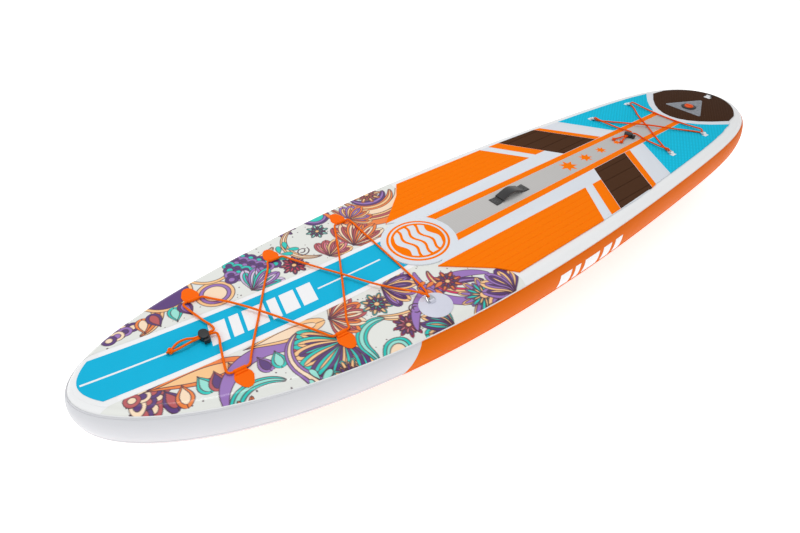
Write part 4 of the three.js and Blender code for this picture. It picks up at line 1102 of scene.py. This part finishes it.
# Cord locks: a moulded barrel and a sprung button, both black nylon with a fine spark-eroded grain, and a
# steel spring between them. The cord's two runs pass through both.
black_nylon = Finish("black_nylon", (24, 25, 27), 0.42).mottle(90, 0.15).worn(45, 0.34, 0.55)
black_nylon.relief(black_nylon.noise(1400, 2), 0.00006, 0.7)
spring_steel = Finish("spring_steel", (150, 154, 160), 0.3, Metallic=1.0)
spring_steel.mottle(200, 0.08).worn(150, 0.25, 0.42)
for place in ("front", "rear"):
    eased_copy(f"{place}_lock_barrel", f"{place}_cord_lock_barrel", black_nylon, 0.0022)
    button = place + "_lock_button"
    eased_copy(button, f"{place}_cord_lock_button", black_nylon, 0.0012, body=button)
    eased_copy(place + "_lock_spring", place + "_cord_lock_spring", spring_steel, levels=1)

# Carry handle: woven black webbing sewn to two glued patches, with a soft padded sleeve round its middle
# where the hand holds it.
webbing = Finish("handle_webbing", (50, 50, 50), 0.85, Sheen_Weight=0.3).mottle(120, 0.12)
threads = {0: webbing.wave(0.0022, "X"), 1: webbing.wave(0.0016, "Y")}
webbing.relief(webbing.node("Math", threads, operation="MULTIPLY").outputs[0], 0.0005, 0.9)
sleeve_cloth = Finish("handle_sleeve", (42, 42, 43), 0.9, Sheen_Weight=0.35).mottle(160, 0.12)
sleeve_cloth.relief(sleeve_cloth.noise(700, 2), 0.0002, 0.8)
eased_copy("handle_webbing", "handle_strap", webbing, 0.0004)
grip = eased_copy("handle_grip", "handle_sleeve", sleeve_cloth, 0.002)
for place in ("front", "rear"):
    eased_copy("handle_patch_" + place, "handle_base_" + place, webbing, 0.0004)

# Valve: a black nylon body clamped through the deck by a nut, with a sprung orange stem inside and an orange
# cap, which turns and lifts off with its rubber seal.
orange_nylon = Finish("orange_nylon", (232, 84, 8), 0.42, Specular_IOR_Level=0.3)
orange_nylon.mottle(80, 0.06).worn(60, 0.32, 0.48)
rubber = Finish("black_rubber", (28, 28, 28), 0.8).mottle(150, 0.15).worn(80, 0.72, 0.9)
eased_copy("valve_flange", "valve_body", black_nylon, 0.0008)
eased_copy("valve_nut", "valve_clamp_nut", black_nylon, 0.0008)
eased_copy("valve_cap", "valve_orange_cap", orange_nylon, 0.0009, body="valve_cap")
eased_copy("valve_stem", "valve_push_stem", orange_nylon, 0.0004, body="valve_stem")
eased_copy("valve_cap_seal", "valve_seal_ring", rubber, 0.0003, body="valve_cap_seal")
eased_copy("valve_spring", "valve_coil_spring", spring_steel, levels=1)

# Drop-stitch yarn: polyester threads woven between the two skins, which hold the deck flat under pressure.
# One yarn in six rows stands for all of them, inside the hull.
yarn_white = Finish("drop_stitch_polyester", (226, 224, 216), 0.8).mottle(300, 0.06)
yarn_white.relief(yarn_white.noise(900, 2), 0.0002, 0.6)
yarn_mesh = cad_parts["drop_stitch_yarn"].data
yarn_mesh.materials.clear()
yarn_mesh.materials.append(yarn_white.material)

# Valve surround: a thin silver-grey foil triangle with round corners, stuck on the tail pad, with a hole for
# the valve.
foil = Finish("valve_surround_foil", (138, 142, 150), 0.45, Metallic=0.35).mottle(70, 0.7).worn(60, 0.3, 0.6)
VALVE_Y, VALVE_HOLE = 1.315, 0.0355
FOIL_THICKNESS = 0.0004


def rounded_triangle(corners, radius):
    """A triangle with round corners, seen from above."""
    middle = Vector((sum(x for x, _ in corners) / 3, sum(y for _, y in corners) / 3))
    outline = []
    for x, y in corners:
        corner = Vector((x, y))
        inner = corner + (middle - corner).normalized() * radius * 2
        heading = math.atan2(corner.y - middle.y, corner.x - middle.x)
        for k in range(-4, 5):
            angle = heading + math.radians(15 * k)
            outline.append((inner.x + radius * math.cos(angle), inner.y + radius * math.sin(angle)))
    return outline


triangle = rounded_triangle([(-0.098, 1.252), (0.098, 1.252), (0, 1.44)], 0.008)
clear_selection()
bpy.ops.mesh.primitive_cylinder_add(vertices=64, radius=VALVE_HOLE, depth=0.1, location=(0, VALVE_Y, PAD_TOP))
punch = bpy.context.object
foil_floor, foil_top = PAD_TOP - GLUE_DEPTH, PAD_TOP + FOIL_THICKNESS
foam_sheet("valve_surround", triangle, foil_floor, foil_top, foil, punch)

# Fins: glass-filled nylon blades with a foiled section. The centre one slides into a glued box and is kept
# there by an orange clip; the side ones are glued on.
fin_black = Finish("fin_black_nylon", (22, 23, 25), 0.36, Coat_Weight=0.15)
fin_black.mottle(30, 0.12).worn(14, 0.3, 0.5).relief(fin_black.noise(800, 2), 0.00005, 0.6)
eased_copy("fin_box", "fin_base_box", black_nylon, 0.0012)
eased_copy("centre_fin", "centre_fin_blade", fin_black, 0.0022)
eased_copy("fin_clip", "fin_clip_orange", orange_nylon, 0.0008, body="fin_clip")
for side in ("port", "starboard"):
    eased_copy("side_fin_" + side, "side_fin_blade_" + side, fin_black, 0.0014)
